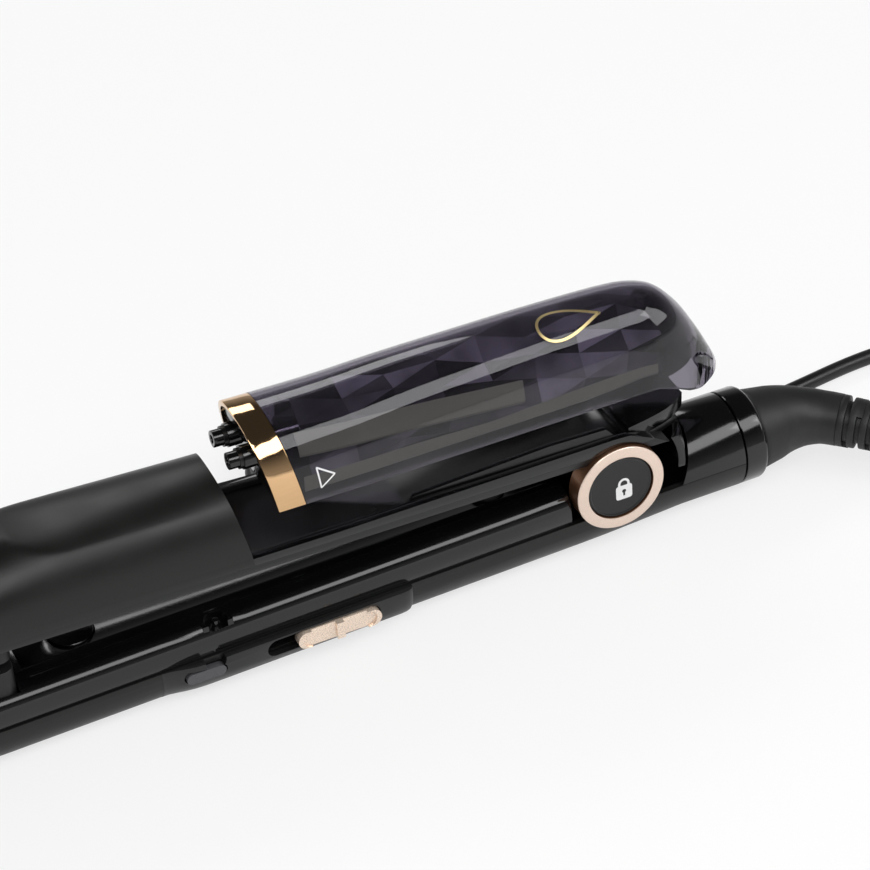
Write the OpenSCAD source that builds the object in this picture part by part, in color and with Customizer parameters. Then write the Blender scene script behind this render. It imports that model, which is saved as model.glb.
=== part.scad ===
// Steam hair straightener: two hinged arms, a lifted water tank, a lock knob and a wound cord.
// All sizes in mm. X runs along the length toward the cord, Z is up, the knob is on the -Y side.
// The hinge axis crosses X = 0; the lower arm rests on Z = 0.

/* [Arms] */
// Distance from the hinge axis to the tips of both arms
arm_length = 285; // [280:1:292]
// Height of the hinge axis over the table
hinge_height = 22.4; // [22.2:0.1:22.6]
// Half width of the upper arm at the hinge
half_width = 14.9; // [14.7:0.1:15.1]
// Wall of the plastic covers
wall = 1.8; // [1.5:0.1:2]
// Height of the parting line of the lower arm
seam_height = 13.6; // [13.4:0.1:13.8]
// Top of the rounded rim of the lower arm
rim_height = 23.4; // [23:0.1:23.6]

/* [Heating plates] */
// Length of each heating plate
plate_length = 98; // [90:1:99]
// Width of each heating plate
plate_width = 27; // [25:0.5:27.5]
// Thickness of each heating plate
plate_thick = 2.6; // [2.2:0.1:2.8]
// Height of the plane where the plates meet
plate_plane = 31; // [30.8:0.1:31.2]
// Diameter of each steam outlet
vent_diameter = 1.8; // [1.2:0.1:2.4]

/* [Lock knob] */
// Outer radius of the rose ring
knob_radius = 13.15; // [12.8:0.05:13.3]
// Radius of the pressed cap
cap_radius = 9.6; // [9:0.1:9.9]
// Travel of the pressed cap
cap_travel = 1.8; // [1.2:0.1:2]

/* [Steam switch] */
// Length of the sliding button
slider_length = 24; // [20:0.5:26]
// Height of the sliding button
slider_height = 5.2; // [4.6:0.1:5.6]
// Travel of the sliding button
slider_travel = 8; // [5:0.5:9]

/* [Tank] */
// Lift of the photographed tank over its seat
tank_lift = 12; // [11.5:0.5:14]
// Distance of the tank's lower front edge from the hinge axis
tank_front = 99.1; // [97:0.1:99.5]
// Height of the tank arch over its straight sides
tank_arch = 18.8; // [18:0.1:19.2]
// Wall of the clear tank
tank_wall = 1.5; // [1.2:0.1:1.7]
// Length of the polished collar
collar_length = 7.6; // [6.5:0.1:8.5]
// Diameter of each tank nozzle tip
nozzle_diameter = 4.6; // [4:0.1:5]

/* [Rear end and cord] */
// Radius of the rear tube
tube_radius = 13.5; // [13.3:0.1:13.6]
// Length of the swivel collar
swivel_length = 7; // [5.5:0.5:8]
// Diameter of the cord
cord_diameter = 4.5; // [4.1:0.1:4.7]
// Diameter over the ribs of the cord guard
guard_diameter = 15; // [14.5:0.1:15.5]
// Diameter of each plug pin
pin_diameter = 4; // [3.9:0.05:4.8]
// Length of each plug pin
pin_length = 19; // [17:0.5:20]

/* [Hidden] */
$fn = 48;
// Clearances: a fixed fit, a running fit and a free gap
fit = 0.05;
slip = 0.3;
gap = 0.6;

// Upper arm: tilt over the lower arm, growth of the half width toward the tips, lean of the tank joint
tilt = 2.3;
taper = 0.0225;
taper_end = 180;
lean = 0.225;
nose_length = 20;
steps = 16;

// Upper arm heights over the hinge axis, in the tilted frame
trim_low = 9.6;
trim_top = 11.9;
cover_low = 12.1;
cover_spring = 15;
cover_arch = 20;
rail_top = 14.5;
deck_top = 13;
head_top = 16;
bay_front = 107.1;
bay_rear = 3.9;
seat_gap = 0.4;
head_radius = 25.3;
socket_height = 26;
socket_y = 5.4;
socket_end = -120;
trim_screws = [-88, -14];
cover_posts = [-254, -198];
pipe_x = -186;
pump_x = [-156, -148];
pump_axis = 22;
cover_rise = [-235, -212, -196, -183, -170, -157];

// Water tank, seated: lower edge, top and half width along its length
tank_back = 8.5;
tank_tip = 28.3;
nozzle_base = 6.4;
pickup_radius = 1.7;
pickup_z = 25.4;
tank_low = [[-113, 14.7], [-83.5, 14.7], [-1.5, 16.2], [3.5, 16], [9.5, 13.3], [14.5, 10.4], [18.5, 9], [30, 8.6]];
tank_top = [[-107.5, 36.8], [-88.5, 37.3], [-68.5, 38.8], [-48.5, 39.7], [-28.5, 40.5], [-8.5, 40.8], [1.5, 40.4],
    [9.5, 38.2], [15.5, 32.6], [19.5, 26.6], [23.5, 19.6], [26, 14.8], [27.5, 12], [28.3, 10.4]];
tail_half = [[0, 0], [3.5, 0.4], [9.5, 1.6], [15.5, 3.2], [19.5, 4.9], [23.1, 7.3], [25.5, 9.5], [27.1, 11.5],
    [28.1, 13.7], [28.3, 14.3]];

// Plate end of both arms
plate_back = 176;
carrier_back = 172;
carrier_half = 14.8;
carrier_wall = 1.4;
heater_thick = 2;
float_travel = 0.8;

// Lower arm
sole_cut = 0.15;
tube_x = 40.2;
tube_wall = 2;
panel_x = [-135, -63];
panel_out = 2.2;
slider_x = -85.6;
slider_z = 10.2;
lamp_x = -123.5;
button_x = -153;
button_radius = 6.2;
button_travel = 0.8;
board_half = 9.5;
board_z = 6.4;
board_x = [-158, -66];
board_holes = [-154, -70];
barrel_half = 4.6;
pad_x = -33;
knuckle_y = [7.6, 10.6];
screw_places = [-262, -164, -24];
screw_top = 9;
screw_radius = 1.2;
boss_radius = 2.6;
inner_end = -14;
panel_back = -carrier_back + 3;
panel_front = -19;
panel_inset = 10.4;
notch_x = -117.5;
notch_y = -13.4;
notch_radius = 3.2;
pad_radius = 4.6;
pin_radius = 2.5;
vent_y = 10.8;

// Knob, hinge spring, swivel and guard
ring_face = -16.3;
ring_back = -knuckle_y[1] - 0.1;
cap_back = ring_back - 1 - cap_travel;
spring_wire = 0.9;
spring_turns = 1.25;
spring_pitch = 1.1;
guard_x = tube_x + gap + swivel_length;
guard_straight = 7.5;
guard_bend = 24;
guard_turn = 44;
guard_run = 30;
guard_drop = 3;
rib_pitch = 3.3;

// Free stretch of the cord over the table, between the guard and the wound part
cord_route = [[101, -35, 9], [110, -42, 6.5], [121, -47, 4.2], [133, -47.5, 2.8], [144, -42, 2.3], [151, -32, 2.3],
    [154, -20, 2.3], [153, -7, 2.3], [147, 6, 2.3], [137, 17, 2.3], [124, 23.5, 2.3], [110, 26.3, 2.3],
    [96, 26, 2.3], [78, 23.6, 2.3], [61, 21.6, 2.3], [46, 21.8, 2.5], [34, 23.6, 2.9]];
// Wound part: centre, straight run, smallest radius, step between loops, loops a layer, heights and waist
hank_x = -18;
hank_y = 54;
hank_run = 68;
hank_radius = 13.5;
hank_step = 5.35;
hank_loops = 3;
hank_low = 3.2;
hank_rise = 4.95;
hank_waist = 7;
tie_width = 6;
tie_thick = 0.7;
// Plug: rear end of its sleeve, centre line and body
plug_x = -104;
plug_y = 38;
plug_z = 7.2;
plug_sleeve = 16;
plug_body_length = 30;

// Derived: lower arm and switch
button_foot = board_z + 3.6 + button_travel + 0.1;
// Y of the panel's face at the switch
panel_face = -(lower_half(slider_x) + panel_out);

// Derived: plates, heaters and their carriers, from the bottom up
plate_x = [-plate_back - plate_length, -plate_back];
carrier_x = [plate_x[0] - carrier_wall - slip, -carrier_back];
lower_plate_top = plate_plane - 0.1;
lower_plate_low = lower_plate_top - plate_thick;
lower_heater_low = lower_plate_low - heater_thick - 1.2;
spring_top = lower_heater_low - float_travel - 0.1;
carrier_floor = spring_top - 3;
upper_plate_low = plate_plane + 0.1;
upper_plate_top = upper_plate_low + plate_thick;
chamber_low = upper_plate_top + heater_thick + 0.1;
chamber_top = 41.4;

// Derived: tank, and half outline of the head's cap inside the tail of the seated tank
tank_face = -tank_front - tank_back;
shell_start = tank_face + collar_length;
valve_end = tank_face + 11.6;
trough_x = [valve_end + 0.5, 10];
cap_side = [for (x = [4, 9.5, 13, 16.5, 19.5, 22, 23.8, 24.7]) [x, tank_half(x) - tank_wall - 0.4]];

// Derived: cord guard with its ribs, cord, wound part and tail
guard_length = guard_straight + guard_bend * guard_turn * PI / 180 + guard_run;
rib_start = guard_length - guard_run + 2;
guard_stops = [for (s = [0, 1.5, 4, 7, 10, 13, 16, 19, 22, 25]) [s, 0],
    for (i = [0 : 7], d = [[0, 0], [1.9, 0], [2, 1.2], [3.2, 1.2]]) [rib_start + i * rib_pitch + d[0], d[1]],
    [guard_length - 1.2, 0], [guard_length, 0]];
cord_start = guard_point(guard_length);
guard_aim = (cord_start - guard_point(guard_length - 1)) / norm(cord_start - guard_point(guard_length - 1));
stub = [cord_diameter, 0, 0];
hank_out = hank_radius + hank_step * hank_loops;
hank_start = [hank_x + hank_run / 2, hank_y - hank_out, hank_low];
cord_path = concat([cord_start], smooth(concat([cord_start + guard_aim * cord_diameter], cord_route,
    [hank_start + 2 * stub]), 2), [hank_start + stub]);
hank_end = hank_point(48 * hank_loops + 4);
hank_path = concat([hank_start + stub], [for (k = [0 : 48 * hank_loops + 4]) hank_point(k)], [hank_end - stub]);
hank_gap = min([for (i = [0 : len(hank_path) - 1], j = [0 : len(hank_path) - 2]) if (abs(i - j) > 5)
    apart(hank_path[i], hank_path[j], hank_path[j + 1])]) - cord_diameter;
tail_route = [hank_end - 2 * stub, hank_end - [14, -0.1, 0.1], hank_end - [23, -1.7, 0.5],
    [-82, 30.4, plug_z + 0.1], [-90, 35.6, plug_z], [plug_x + 2 * cord_diameter, plug_y - 0.2, plug_z]];
tail_path = concat([hank_end - stub], smooth(tail_route, 2), [[plug_x + cord_diameter, plug_y, plug_z], [plug_x, plug_y, plug_z]]);

// Shared shapes

function power(v, p) = sign(v) * pow(abs(v), p);
function back(v) = [for (i = [len(v) - 1 : -1 : 0]) v[i]];
function clamp(v) = min(max(v, 0), 1);
// Points from -a over the height b to +a, rounder for a corner power p near 2
function arch(a, b, p) = [for (i = [0 : steps]) let (t = 180 * i / steps)
    [-a * power(cos(t), 2 / p), b * pow(max(sin(t), 0), 2 / p)]];
// Half width of the upper arm at x, and how much of it the rounded nose leaves
function half(x) = half_width + taper * min(max(-x, 0), taper_end);
function nose(x) = let (u = clamp((-x - arm_length + nose_length) / nose_length)) sqrt(1 - 0.75 * u * u);

// Solid through rings of equal length, from the lowest x to the highest. The end of an open
// shell is a strip between its outer and its inner half of points.
module loft(rings, open = false) {
    n = len(rings[0]);
    m = len(rings);
    end = open ? [for (i = [0 : n / 2 - 2]) each [[i, i + 1, n - 1 - i], [i + 1, n - 2 - i, n - 1 - i]]]
        : [[for (i = [0 : n - 1]) i]];
    polyhedron([for (r = rings) each r], concat(
        [for (f = end) back(f)],
        [for (j = [0 : m - 2], i = [0 : n - 1]) let (a = j * n + i, b = j * n + (i + 1) % n) each
            [[a, b, b + n], [a, b + n, a + n]]],
        [for (f = end) [for (i = f) (m - 1) * n + i]]), convexity = 8);
}

// Round tube of given radii along points
module sweep(path, radii, sides) {
    n = len(path);
    rings = [for (i = [0 : n - 1]) let (
        d = path[min(i + 1, n - 1)] - path[max(i - 1, 0)],
        t = d / norm(d),
        s = cross(t, [0, 0, 1]) / norm(cross(t, [0, 0, 1])),
        u = cross(s, t))
        [for (k = [0 : sides - 1]) let (a = -360 * k / sides) path[i] + radii[i] * (s * cos(a) + u * sin(a))]];
    loft(rings);
}

module upper() { translate([0, 0, hinge_height]) rotate([0, tilt, 0]) children(); }
// Cylinder along X from x1 to x2, and along Y from y1 to y2
module rod_x(x1, x2, r, y = 0, z = 0) { translate([x1, y, z]) rotate([0, 90, 0]) cylinder(r = r, h = x2 - x1); }
module rod_y(y1, y2, r, x = 0, z = 0) { translate([x, y2, z]) rotate([90, 0, 0]) cylinder(r = r, h = y2 - y1); }
module block(x, y, z) { translate([x[0], y[0], z[0]]) cube([x[1] - x[0], y[1] - y[0], z[1] - z[0]]); }
module both_sides() { children(); mirror([0, 1, 0]) children(); }

// Plan outline of an arm between two x, drawn in by inset, as a prism between two heights
module plan(x1, x2, inset, z1, z2) {
    nose_start = -(arm_length - nose_length);
    xs = concat([x2], x1 < 0 && x2 > 0 ? [0] : [],
        x1 < -taper_end ? [-taper_end] : [],
        x1 < nose_start ? [for (i = [0 : 6]) nose_start + (x1 - nose_start) * sin(15 * i)] : [x1]);
    side = [for (x = xs) [x, half(x) * nose(x) - inset]];
    translate([0, 0, z1]) linear_extrude(z2 - z1)
        polygon(concat(side, back([for (p = side) [p[0], -p[1]]])));
}

// Stations along an arm, dense at the rounded nose
function nose_x(i) = -(arm_length - nose_length) - nose_length * sin(15 * i);
function stations(x2) = concat([for (i = [6 : -1 : 0]) nose_x(i)], x2);

// Lower arm

function lower_half(x) = half(x) * nose(x) - 0.9;
function lower_depth(x) = lookup(x, [[-arm_length, 8.5], [-arm_length + 4, 10.8], [-arm_length + 14, 12.9],
    [-arm_length + 30, seam_height + sole_cut], [-5, seam_height + sole_cut], [22, seam_height]]);
function lower_power(x) = lookup(x, [[-taper_end, 2.9], [-5, 2.4], [22, 2]]);
function lower_width(x) = x < 0 ? lower_half(x) : lookup(x, [[0, lower_half(0)], [22, tube_radius]]);
// Ring of the lower cover at x: open half shell, or filled where it closes the nose
function lower_ring(x, inner) = let (
    a = lower_width(x), b = lower_depth(x), p = lower_power(x),
    outside = [for (q = arch(a, b, p)) [x, q[0], seam_height - q[1]]],
    inside = [for (q = arch(a - wall, b - wall, p)) [x, q[0], seam_height - q[1]]])
    inner ? concat(back(outside), inside) : back(outside);
// Height of the cover's inner floor at x, y
function lower_floor(x, y) = let (p = lower_power(x), a = lower_width(x) - wall, b = lower_depth(x) - wall)
    seam_height - b * pow(1 - pow(abs(y) / a, p), 1 / p) + slip;

module knob_hollow(extra = 0) {
    both_sides() rod_y(knuckle_y[1] + 0.6, 22, knob_radius + 0.35 + extra, 0, hinge_height);
}
module lamp_notch(r) { translate([lamp_x + 3, -20, seam_height - 0.4]) rotate([-90, 0, 0]) cylinder(r = r, h = 5); }

module lower_cover() color("#303030") difference() {
    union() {
        difference() {
            loft([for (x = stations([-230, -taper_end, -60, -5, 10, 22])) lower_ring(x, true)]);
            knob_hollow();
            // slot behind the steam switch
            block([slider_x - slider_length / 2 - slider_travel - 1, slider_x + slider_length / 2 + 1], [-20, -10],
                [slider_z - 1.6, slider_z + 1.6]);
            // mouth behind the lamp window
            block([lamp_x - 3, lamp_x + 3], [-20, -10], [slider_z - 1.4, slider_z + 0.8]);
        }
        loft([for (x = [-arm_length, -arm_length + wall]) lower_ring(x, false)]);
        difference() {
            rod_x(22, tube_x, tube_radius, 0, tube_radius);
            rod_x(20, tube_x + 1, tube_radius - tube_wall, 0, tube_radius);
            block([20, tube_x + 2], [-20, 20], [seam_height, 40]);
        }
        both_sides() difference() {
            union() {
                rod_y(knuckle_y[0], knuckle_y[1], 7.5, 0, hinge_height);
                block([-7.5, 7.5], knuckle_y, [4, hinge_height]);
            }
            rod_y(-20, 20, pin_radius + fit, 0, hinge_height);
        }
    }
    // flat sole along the bottom
    block([-arm_length, tube_x], [-20, 20], [-2, 0]);
    for (x = screw_places) translate([x, 0, -1]) cylinder(r = 2.7, h = 2.2);
    for (x = screw_places) translate([x, 0, -1]) cylinder(r = 1.3, h = 8);
}

// Plain box with rounded upper edges that carries the rims of the lower arm
function rim_ring(x, inner) = let (
    a = lower_half(x) - 0.5, b = rim_height - seam_height - 0.3, z = seam_height + 0.3,
    h = b * lookup(x, [[-arm_length, 0.55], [-arm_length + 8, 0.85], [-arm_length + 20, 1]]),
    outside = [for (q = arch(a, h, 4.2)) [x, q[0], z + q[1]]],
    inside = [for (q = arch(a - wall, h - wall, 4.2)) [x, q[0], z + q[1]]])
    inner ? concat(outside, back(inside)) : outside;

module lower_inner_shell() color("#1f1f20") difference() {
    union() {
        loft([for (x = stations([-taper_end, inner_end - wall, inner_end])) rim_ring(x, true)]);
        loft([for (i = [6 : -1 : 4]) rim_ring(nose_x(i), false)]);
        loft([for (x = [inner_end - wall, inner_end]) rim_ring(x, false)]);
        block([notch_x - notch_radius - 1, notch_x + notch_radius + 1], [-lower_half(notch_x) + 1.5, notch_y + notch_radius + 1],
            [rim_height - 4, rim_height - 1]);
        // bosses for the lower screws
        for (x = [screw_places[1], screw_places[2]]) translate([x, 0, lower_floor(x, boss_radius)])
            cylinder(r = boss_radius, h = rim_height - 1 - lower_floor(x, boss_radius));
        // tongue inside the lower cover
        difference() {
            plan(-arm_length + wall + 6, inner_end, wall + 1.3, seam_height - 1.5, seam_height + 2);
            plan(-arm_length + wall + 8, inner_end - 2, wall + 2.6, seam_height - 2, seam_height + 3);
        }
    }
    // grooves beside the inner panel, the panel's own recess and the mouth of the plate carrier
    difference() {
        plan(-carrier_back + 4, inner_end - 1.5, 6.9, rim_height - 0.7, rim_height + 2);
        plan(-carrier_back + 3, inner_end - 1, 7.8, rim_height - 1, rim_height + 3);
    }
    plan(panel_back, panel_front, panel_inset, rim_height - 1.2, rim_height + 1);
    block([carrier_x[0] - slip, -carrier_back + 0.2], [-carrier_half - 0.1, carrier_half + 0.1],
        [seam_height - 3, 40]);
    translate([button_x, 0, 10]) cylinder(r = button_radius + 0.6, h = 20);
    translate([pad_x, 0, 10]) cylinder(r = pad_radius + 0.6, h = 20);
    for (x = screw_places) translate([x, 0, 0]) cylinder(r = screw_radius + fit, h = screw_top + 1);
    // half round notch over a shelf with a contact pin
    difference() {
        translate([notch_x, notch_y, rim_height - 3]) cylinder(r = notch_radius, h = 5);
        translate([notch_x, notch_y + 0.6, rim_height - 4]) cylinder(r = 0.9, h = 2.6);
    }
}

module inner_panel() color("#0c0c0d") difference() {
    plan(panel_back + 0.1, panel_front - 0.1, panel_inset + 0.1, rim_height - 1.2, rim_height - 0.3);
    translate([button_x, 0, 10]) cylinder(r = button_radius + 0.25, h = 20);
    translate([pad_x, 0, 10]) cylinder(r = pad_radius + 0.15, h = 20);
}

// Slot with round ends along X, cut along Y
module slot(x, h, z, y1, y2) {
    for (c = [x[0] + h / 2, x[1] - h / 2]) rod_y(y1, y2, h / 2, c, z);
    block([x[0] + h / 2, x[1] - h / 2], [y1, y2], [z - h / 2, z + h / 2]);
}

// Raised panel on the side of the lower arm that carries the switch and the lamp window
function panel_ring(x, out) = let (a = lower_half(x), p = lower_power(x),
    skin = arch(a + out, seam_height + sole_cut, p), bed = arch(a + 2 * fit, seam_height + sole_cut + 2 * fit, p))
    concat([for (i = [4 : -1 : 0]) [x, skin[i][0], seam_height - skin[i][1]]],
        [for (i = [0 : 4]) [x, bed[i][0], seam_height - bed[i][1]]]);

module switch_panel() color("#1c1c1d") difference() {
    loft([for (s = [[0, 0.3], [4, 0.9], [9, 1.9], [13, panel_out]]) panel_ring(panel_x[0] + s[0], s[1]),
        for (s = [[3, panel_out], [0.8, panel_out - 0.6], [0, panel_out - 1.5]]) panel_ring(panel_x[1] - s[0], s[1])]);
    slot([slider_x - slider_length / 2 - slider_travel - 0.4, slider_x + slider_length / 2 + 0.4],
        slider_height + 0.5, slider_z, -24, -8);
    slot([lamp_x - 5.6, lamp_x + 5.6], 3.3, slider_z - 0.3, -24, -8);
    lamp_notch(2.9);
}

module slide_switch() color("#e0cbb6") {
    difference() {
        slot([slider_x - slider_length / 2, slider_x + slider_length / 2], slider_height, slider_z,
            panel_face - 1.3, panel_face + 1.6);
        // shallow finger dish on each side of the rib
        for (s = [-1, 1]) slot([slider_x + s * slider_length / 4 - slider_length / 5,
            slider_x + s * slider_length / 4 + slider_length / 5], slider_height - 1, slider_z,
            panel_face - 2, panel_face - 0.9);
    }
    block([slider_x - 1, slider_x + 1], [panel_face - 1.9, panel_face - 0.5],
        [slider_z - slider_height / 2, slider_z + slider_height / 2]);
    // stem through the cover to the switch body
    block([slider_x - 1.5, slider_x + 1.5], [panel_face + 1.5, -board_half - 1.9], [slider_z - 1.3, slider_z + 1.3]);
}

module lamp_window() color("#4a4a4d") slot([lamp_x - 5.5, lamp_x + 5.5], 3.2, slider_z - 0.3,
    panel_face - 0.75, -(lower_half(lamp_x) + fit));

module power_button() color("#161617") translate([button_x, 0, 0]) {
    translate([0, 0, rim_height - 2.6]) cylinder(r = button_radius, h = 2.9);
    translate([0, 0, button_foot]) cylinder(r = 1.6, h = rim_height - 2.5 - button_foot);
}

module stop_pad() color("#222222") translate([pad_x, 0, 0]) {
    translate([0, 0, rim_height - 1.2]) cylinder(r = pad_radius, h = 1.9);
    translate([0, 0, seam_height + 0.5]) cylinder(r = 3, h = rim_height - 1.1 - seam_height - 0.5);
}

module circuit_board() color("#1d5a36") {
    difference() {
        block(board_x, [-board_half, board_half], [board_z, board_z + 1.6]);
        for (x = board_holes, y = [-5.5, 5.5]) translate([x, y, 0]) cylinder(r = 1.4, h = 20);
    }
    // posts down to the cover and up to the lamp
    for (x = board_holes, y = [-5.5, 5.5], low = lower_floor(x, abs(y) + 2.4)) translate([x, y, low]) difference() {
        cylinder(r = 2.4, h = board_z - low);
        translate([0, 0, 1]) cylinder(r = 1, h = 20);
    }
    block([lamp_x - 2, lamp_x + 2], [-board_half, -board_half + 4], [board_z + 1.6, board_z + 4]);
    translate([button_x, 0, board_z + 1.6]) cylinder(r = 2.6, h = 2);
}

module switch_body() color("#7a7f86") difference() {
    block([slider_x - 9 - slider_travel, slider_x + 9], [-board_half, -board_half + 6], [board_z + 1.65, board_z + 7.5]);
    block([slider_x - 2.2 - slider_travel, slider_x + 2.2], [-board_half - 1, -board_half + 3],
        [slider_z - 1.8, slider_z + 1.8]);
}

module transformer() color("#55585e") {
    block([-56, -42], [-7, 7], [lower_floor(-42, 7), 12]);
    block([-55, -43], [-6, 6], [12, 14.5]);
}

// Plate carrier: an open box with a rounded rear wall, from z1 to z2
module carrier_box(z1, z2, floor_z) difference() {
    union() {
        block([carrier_x[0], carrier_x[1] - 3], [-carrier_half, carrier_half], [z1, z2]);
        for (y = [-1, 1]) translate([carrier_x[1] - 3, y * (carrier_half - 3), z1]) cylinder(r = 3, h = z2 - z1);
        block([carrier_x[1] - 3.1, carrier_x[1]], [-carrier_half + 3, carrier_half - 3], [z1, z2]);
    }
    block([plate_x[0] - slip, plate_x[1] + slip], [-plate_width / 2 - slip, plate_width / 2 + slip],
        [floor_z[0], floor_z[1]]);
}

module lower_carrier() color("#27272a") {
    difference() {
        carrier_box(carrier_floor - 2, plate_plane - 1.6, [carrier_floor, plate_plane]);
        // wire hole
        translate([-carrier_back - 10, 0, 10]) cylinder(r = 2.5, h = 20);
    }
    // screw boss, and feet on the floor of the lower cover
    translate([screw_places[0], 0, lower_floor(screw_places[0], boss_radius)]) difference() {
        cylinder(r = boss_radius, h = carrier_floor - 1.8 - lower_floor(screw_places[0], boss_radius));
        translate([0, 0, -1]) cylinder(r = screw_radius + fit, h = screw_top);
    }
    for (x = [carrier_x[0] + 24, -carrier_back - 16], y = [-6, 6], low = lower_floor(x, abs(y) + 2.6))
        translate([x, y, low]) cylinder(r = 2.6, h = carrier_floor - 1.8 - low);
}

module lower_plate() color("#b9b4ac") difference() {
    block(plate_x, [-plate_width / 2, plate_width / 2], [lower_plate_low, lower_plate_top]);
    both_sides() translate([0, plate_width / 2, lower_plate_top]) rotate([45, 0, 0])
        cube([plate_length * 3, 1, 1], center = true);
}

module lower_heater() color("#d8d4c8") {
    block([plate_x[0] + 8, plate_x[1] - 8], [-9, 9], [lower_heater_low + 1.2, lower_plate_low]);
    // clamp with a hook at each end
    block([plate_x[0] + 2, plate_x[1] - 2], [-5, 5], [lower_heater_low, lower_heater_low + 1.2]);
    for (x = [plate_x[0] + 2, plate_x[1] - 5]) block([x, x + 3], [-5, 5], [lower_heater_low, lower_plate_low]);
}

module plate_springs() color("#8a3b2a") for (x = [plate_x[0] + 18, plate_x[1] - 18]) translate([x, 0, carrier_floor]) {
    difference() {
        cylinder(r = 4.5, h = spring_top - carrier_floor);
        translate([0, 0, 0.8]) cylinder(r = 2.6, h = 9);
    }
}

module lower_screws() color("#6d7076") for (x = screw_places) translate([x, 0, 0]) difference() {
    union() {
        translate([0, 0, 0.15]) cylinder(r = 2.45, h = 1.05);
        translate([0, 0, 0.6]) cylinder(r = screw_radius, h = screw_top - 0.6);
    }
    translate([-0.4, -1.6, 0]) cube([0.8, 3.2, 0.6]);
    translate([-1.6, -0.4, 0]) cube([3.2, 0.8, 0.6]);
}

// Hinge, lock knob and spring

module hinge_pin() color("#9aa0a8") {
    rod_y(-knuckle_y[1] + 1.6, knuckle_y[1] - 0.1, pin_radius, 0, hinge_height);
}

// Point of the hinge spring's wire at the angle a, and its ring of corners there
function coil(a) = [4.4 * cos(a), barrel_half + 0.6 + spring_pitch * a / 360, 4.4 * sin(a)];
function coil_ring(p, a) = [for (k = [0 : 7]) p + spring_wire / 2 * (cos(45 * k) * [cos(a), 0, sin(a)]
    + sin(45 * k) * [0, 1, 0])];
module opening_spring() color("#b0b4b9") translate([0, 0, hinge_height])
    loft(concat([coil_ring(coil(0) - [0, 0, 6], 0)],
        [for (a = [0 : 30 : 360 * spring_turns]) coil_ring(coil(a), a)],
        [coil_ring(coil(360 * spring_turns) - [5, 0, 0], 360 * spring_turns)]));

module lock_ring() color("#e5cbb4") difference() {
    union() {
        rod_y(ring_face + 0.6, ring_back, knob_radius, 0, hinge_height);
        translate([0, ring_face + 0.6, hinge_height]) rotate([90, 0, 0])
            cylinder(r1 = knob_radius, r2 = knob_radius - 0.6, h = 0.6);
    }
    rod_y(ring_face - 1, ring_back - 0.8, cap_radius + 0.2, 0, hinge_height);
    rod_y(ring_face - 1, ring_back + 1, 6.4, 0, hinge_height);
}

module lock_cap() color("#35343a") {
    rod_y(ring_face + 0.5, cap_back, cap_radius, 0, hinge_height);
    // bolt that runs inside the spring
    rod_y(cap_back - 0.2, ring_back - cap_travel + 1.3, 2.2, 0, hinge_height);
}

module lock_spring() color("#b0b4b9") difference() {
    rod_y(cap_back + cap_travel + 0.1, -knuckle_y[1], 5.6, 0, hinge_height);
    rod_y(cap_back - 1, ring_back + 1, 4.6, 0, hinge_height);
}

module hinge_cap() color("#19191a") {
    rod_y(-ring_back, -ring_face - 1.4, knob_radius, 0, hinge_height);
    translate([0, -ring_face - 1.4, hinge_height]) rotate([-90, 0, 0])
        cylinder(r1 = knob_radius, r2 = knob_radius - 1, h = 0.8);
}

// Rear tube, swivel and cord guard

module rear_tube_top() color("#171718") difference() {
    rod_x(14, tube_x, tube_radius, 0, tube_radius);
    rod_x(10, tube_x + 1, tube_radius - tube_wall, 0, tube_radius);
    block([0, 60], [-20, 20], [-1, seam_height + 0.15]);
    // round mouth that the head turns in
    translate([0, 0, hinge_height]) sphere(r = head_radius + gap, $fn = 96);
}

module swivel_collar() color("#101011") {
    rod_x(tube_x + gap, tube_x + gap + swivel_length - 1.2, tube_radius - 0.05, 0, tube_radius);
    translate([tube_x + gap + swivel_length - 1.2, 0, tube_radius]) rotate([0, 90, 0])
        cylinder(r1 = tube_radius - 0.05, r2 = tube_radius - 1.1, h = 1.2);
    // neck and flange that turn inside the tube
    difference() {
        union() {
            rod_x(tube_x - 8, tube_x + gap + 0.1, tube_radius - tube_wall - slip - 1.6, 0, tube_radius);
            rod_x(tube_x - 8, tube_x - 5.5, tube_radius - tube_wall - slip, 0, tube_radius);
        }
        rod_x(tube_x - 9, tube_x + 3, 4, 0, tube_radius);
    }
}

// Centre line of the bent guard, from the swivel face to its tip
function guard_point(s) = let (arc = guard_bend * guard_turn * PI / 180, a = clamp((s - guard_straight) / arc) * guard_turn,
    rest = max(s - guard_straight - arc, 0), total = guard_straight + arc + guard_run)
    [guard_x + min(s, guard_straight) + guard_bend * sin(a) + rest * cos(guard_turn),
     -guard_bend * (1 - cos(a)) - rest * sin(guard_turn),
     tube_radius - guard_drop * pow(max(s - guard_straight, 0) / (total - guard_straight), 2)];
function guard_radius(s) = s < rib_start ? lookup(s, [[0, 11.6], [3, 11.4], [8, 10.6], [13, 9.4],
    [18, 8.3], [23, 7.5], [rib_start, guard_diameter / 2]]) : lookup(s, [[rib_start, guard_diameter / 2],
    [guard_length - 3, guard_diameter / 2 - 1.8], [guard_length, cord_diameter / 2 + 1.3]]);
module cord_guard() color("#262626")
    sweep([for (g = guard_stops) guard_point(g[0])], [for (g = guard_stops) guard_radius(g[0]) - g[1]], 20);

// Upper arm, in the tilted frame with the hinge axis at its origin

function cover_height(x) = lookup(x, [[-arm_length, 3.4], [-arm_length + 2, 5.4], [-arm_length + 8, 7.6],
    [-arm_length + 20, 9], [-235, 10.2], [-212, 12.2], [-196, 14.4], [-183, 16.8], [-170, 18.9],
    [-157, cover_arch]]);
function hood(a, low, spring, h, p) = concat([[-a, low]], [for (q = arch(a, h, p)) [q[0], spring + q[1]]], [[a, low]]);
function lean_x(x, z, z0, k) = x - (z - z0) * k;
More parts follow.
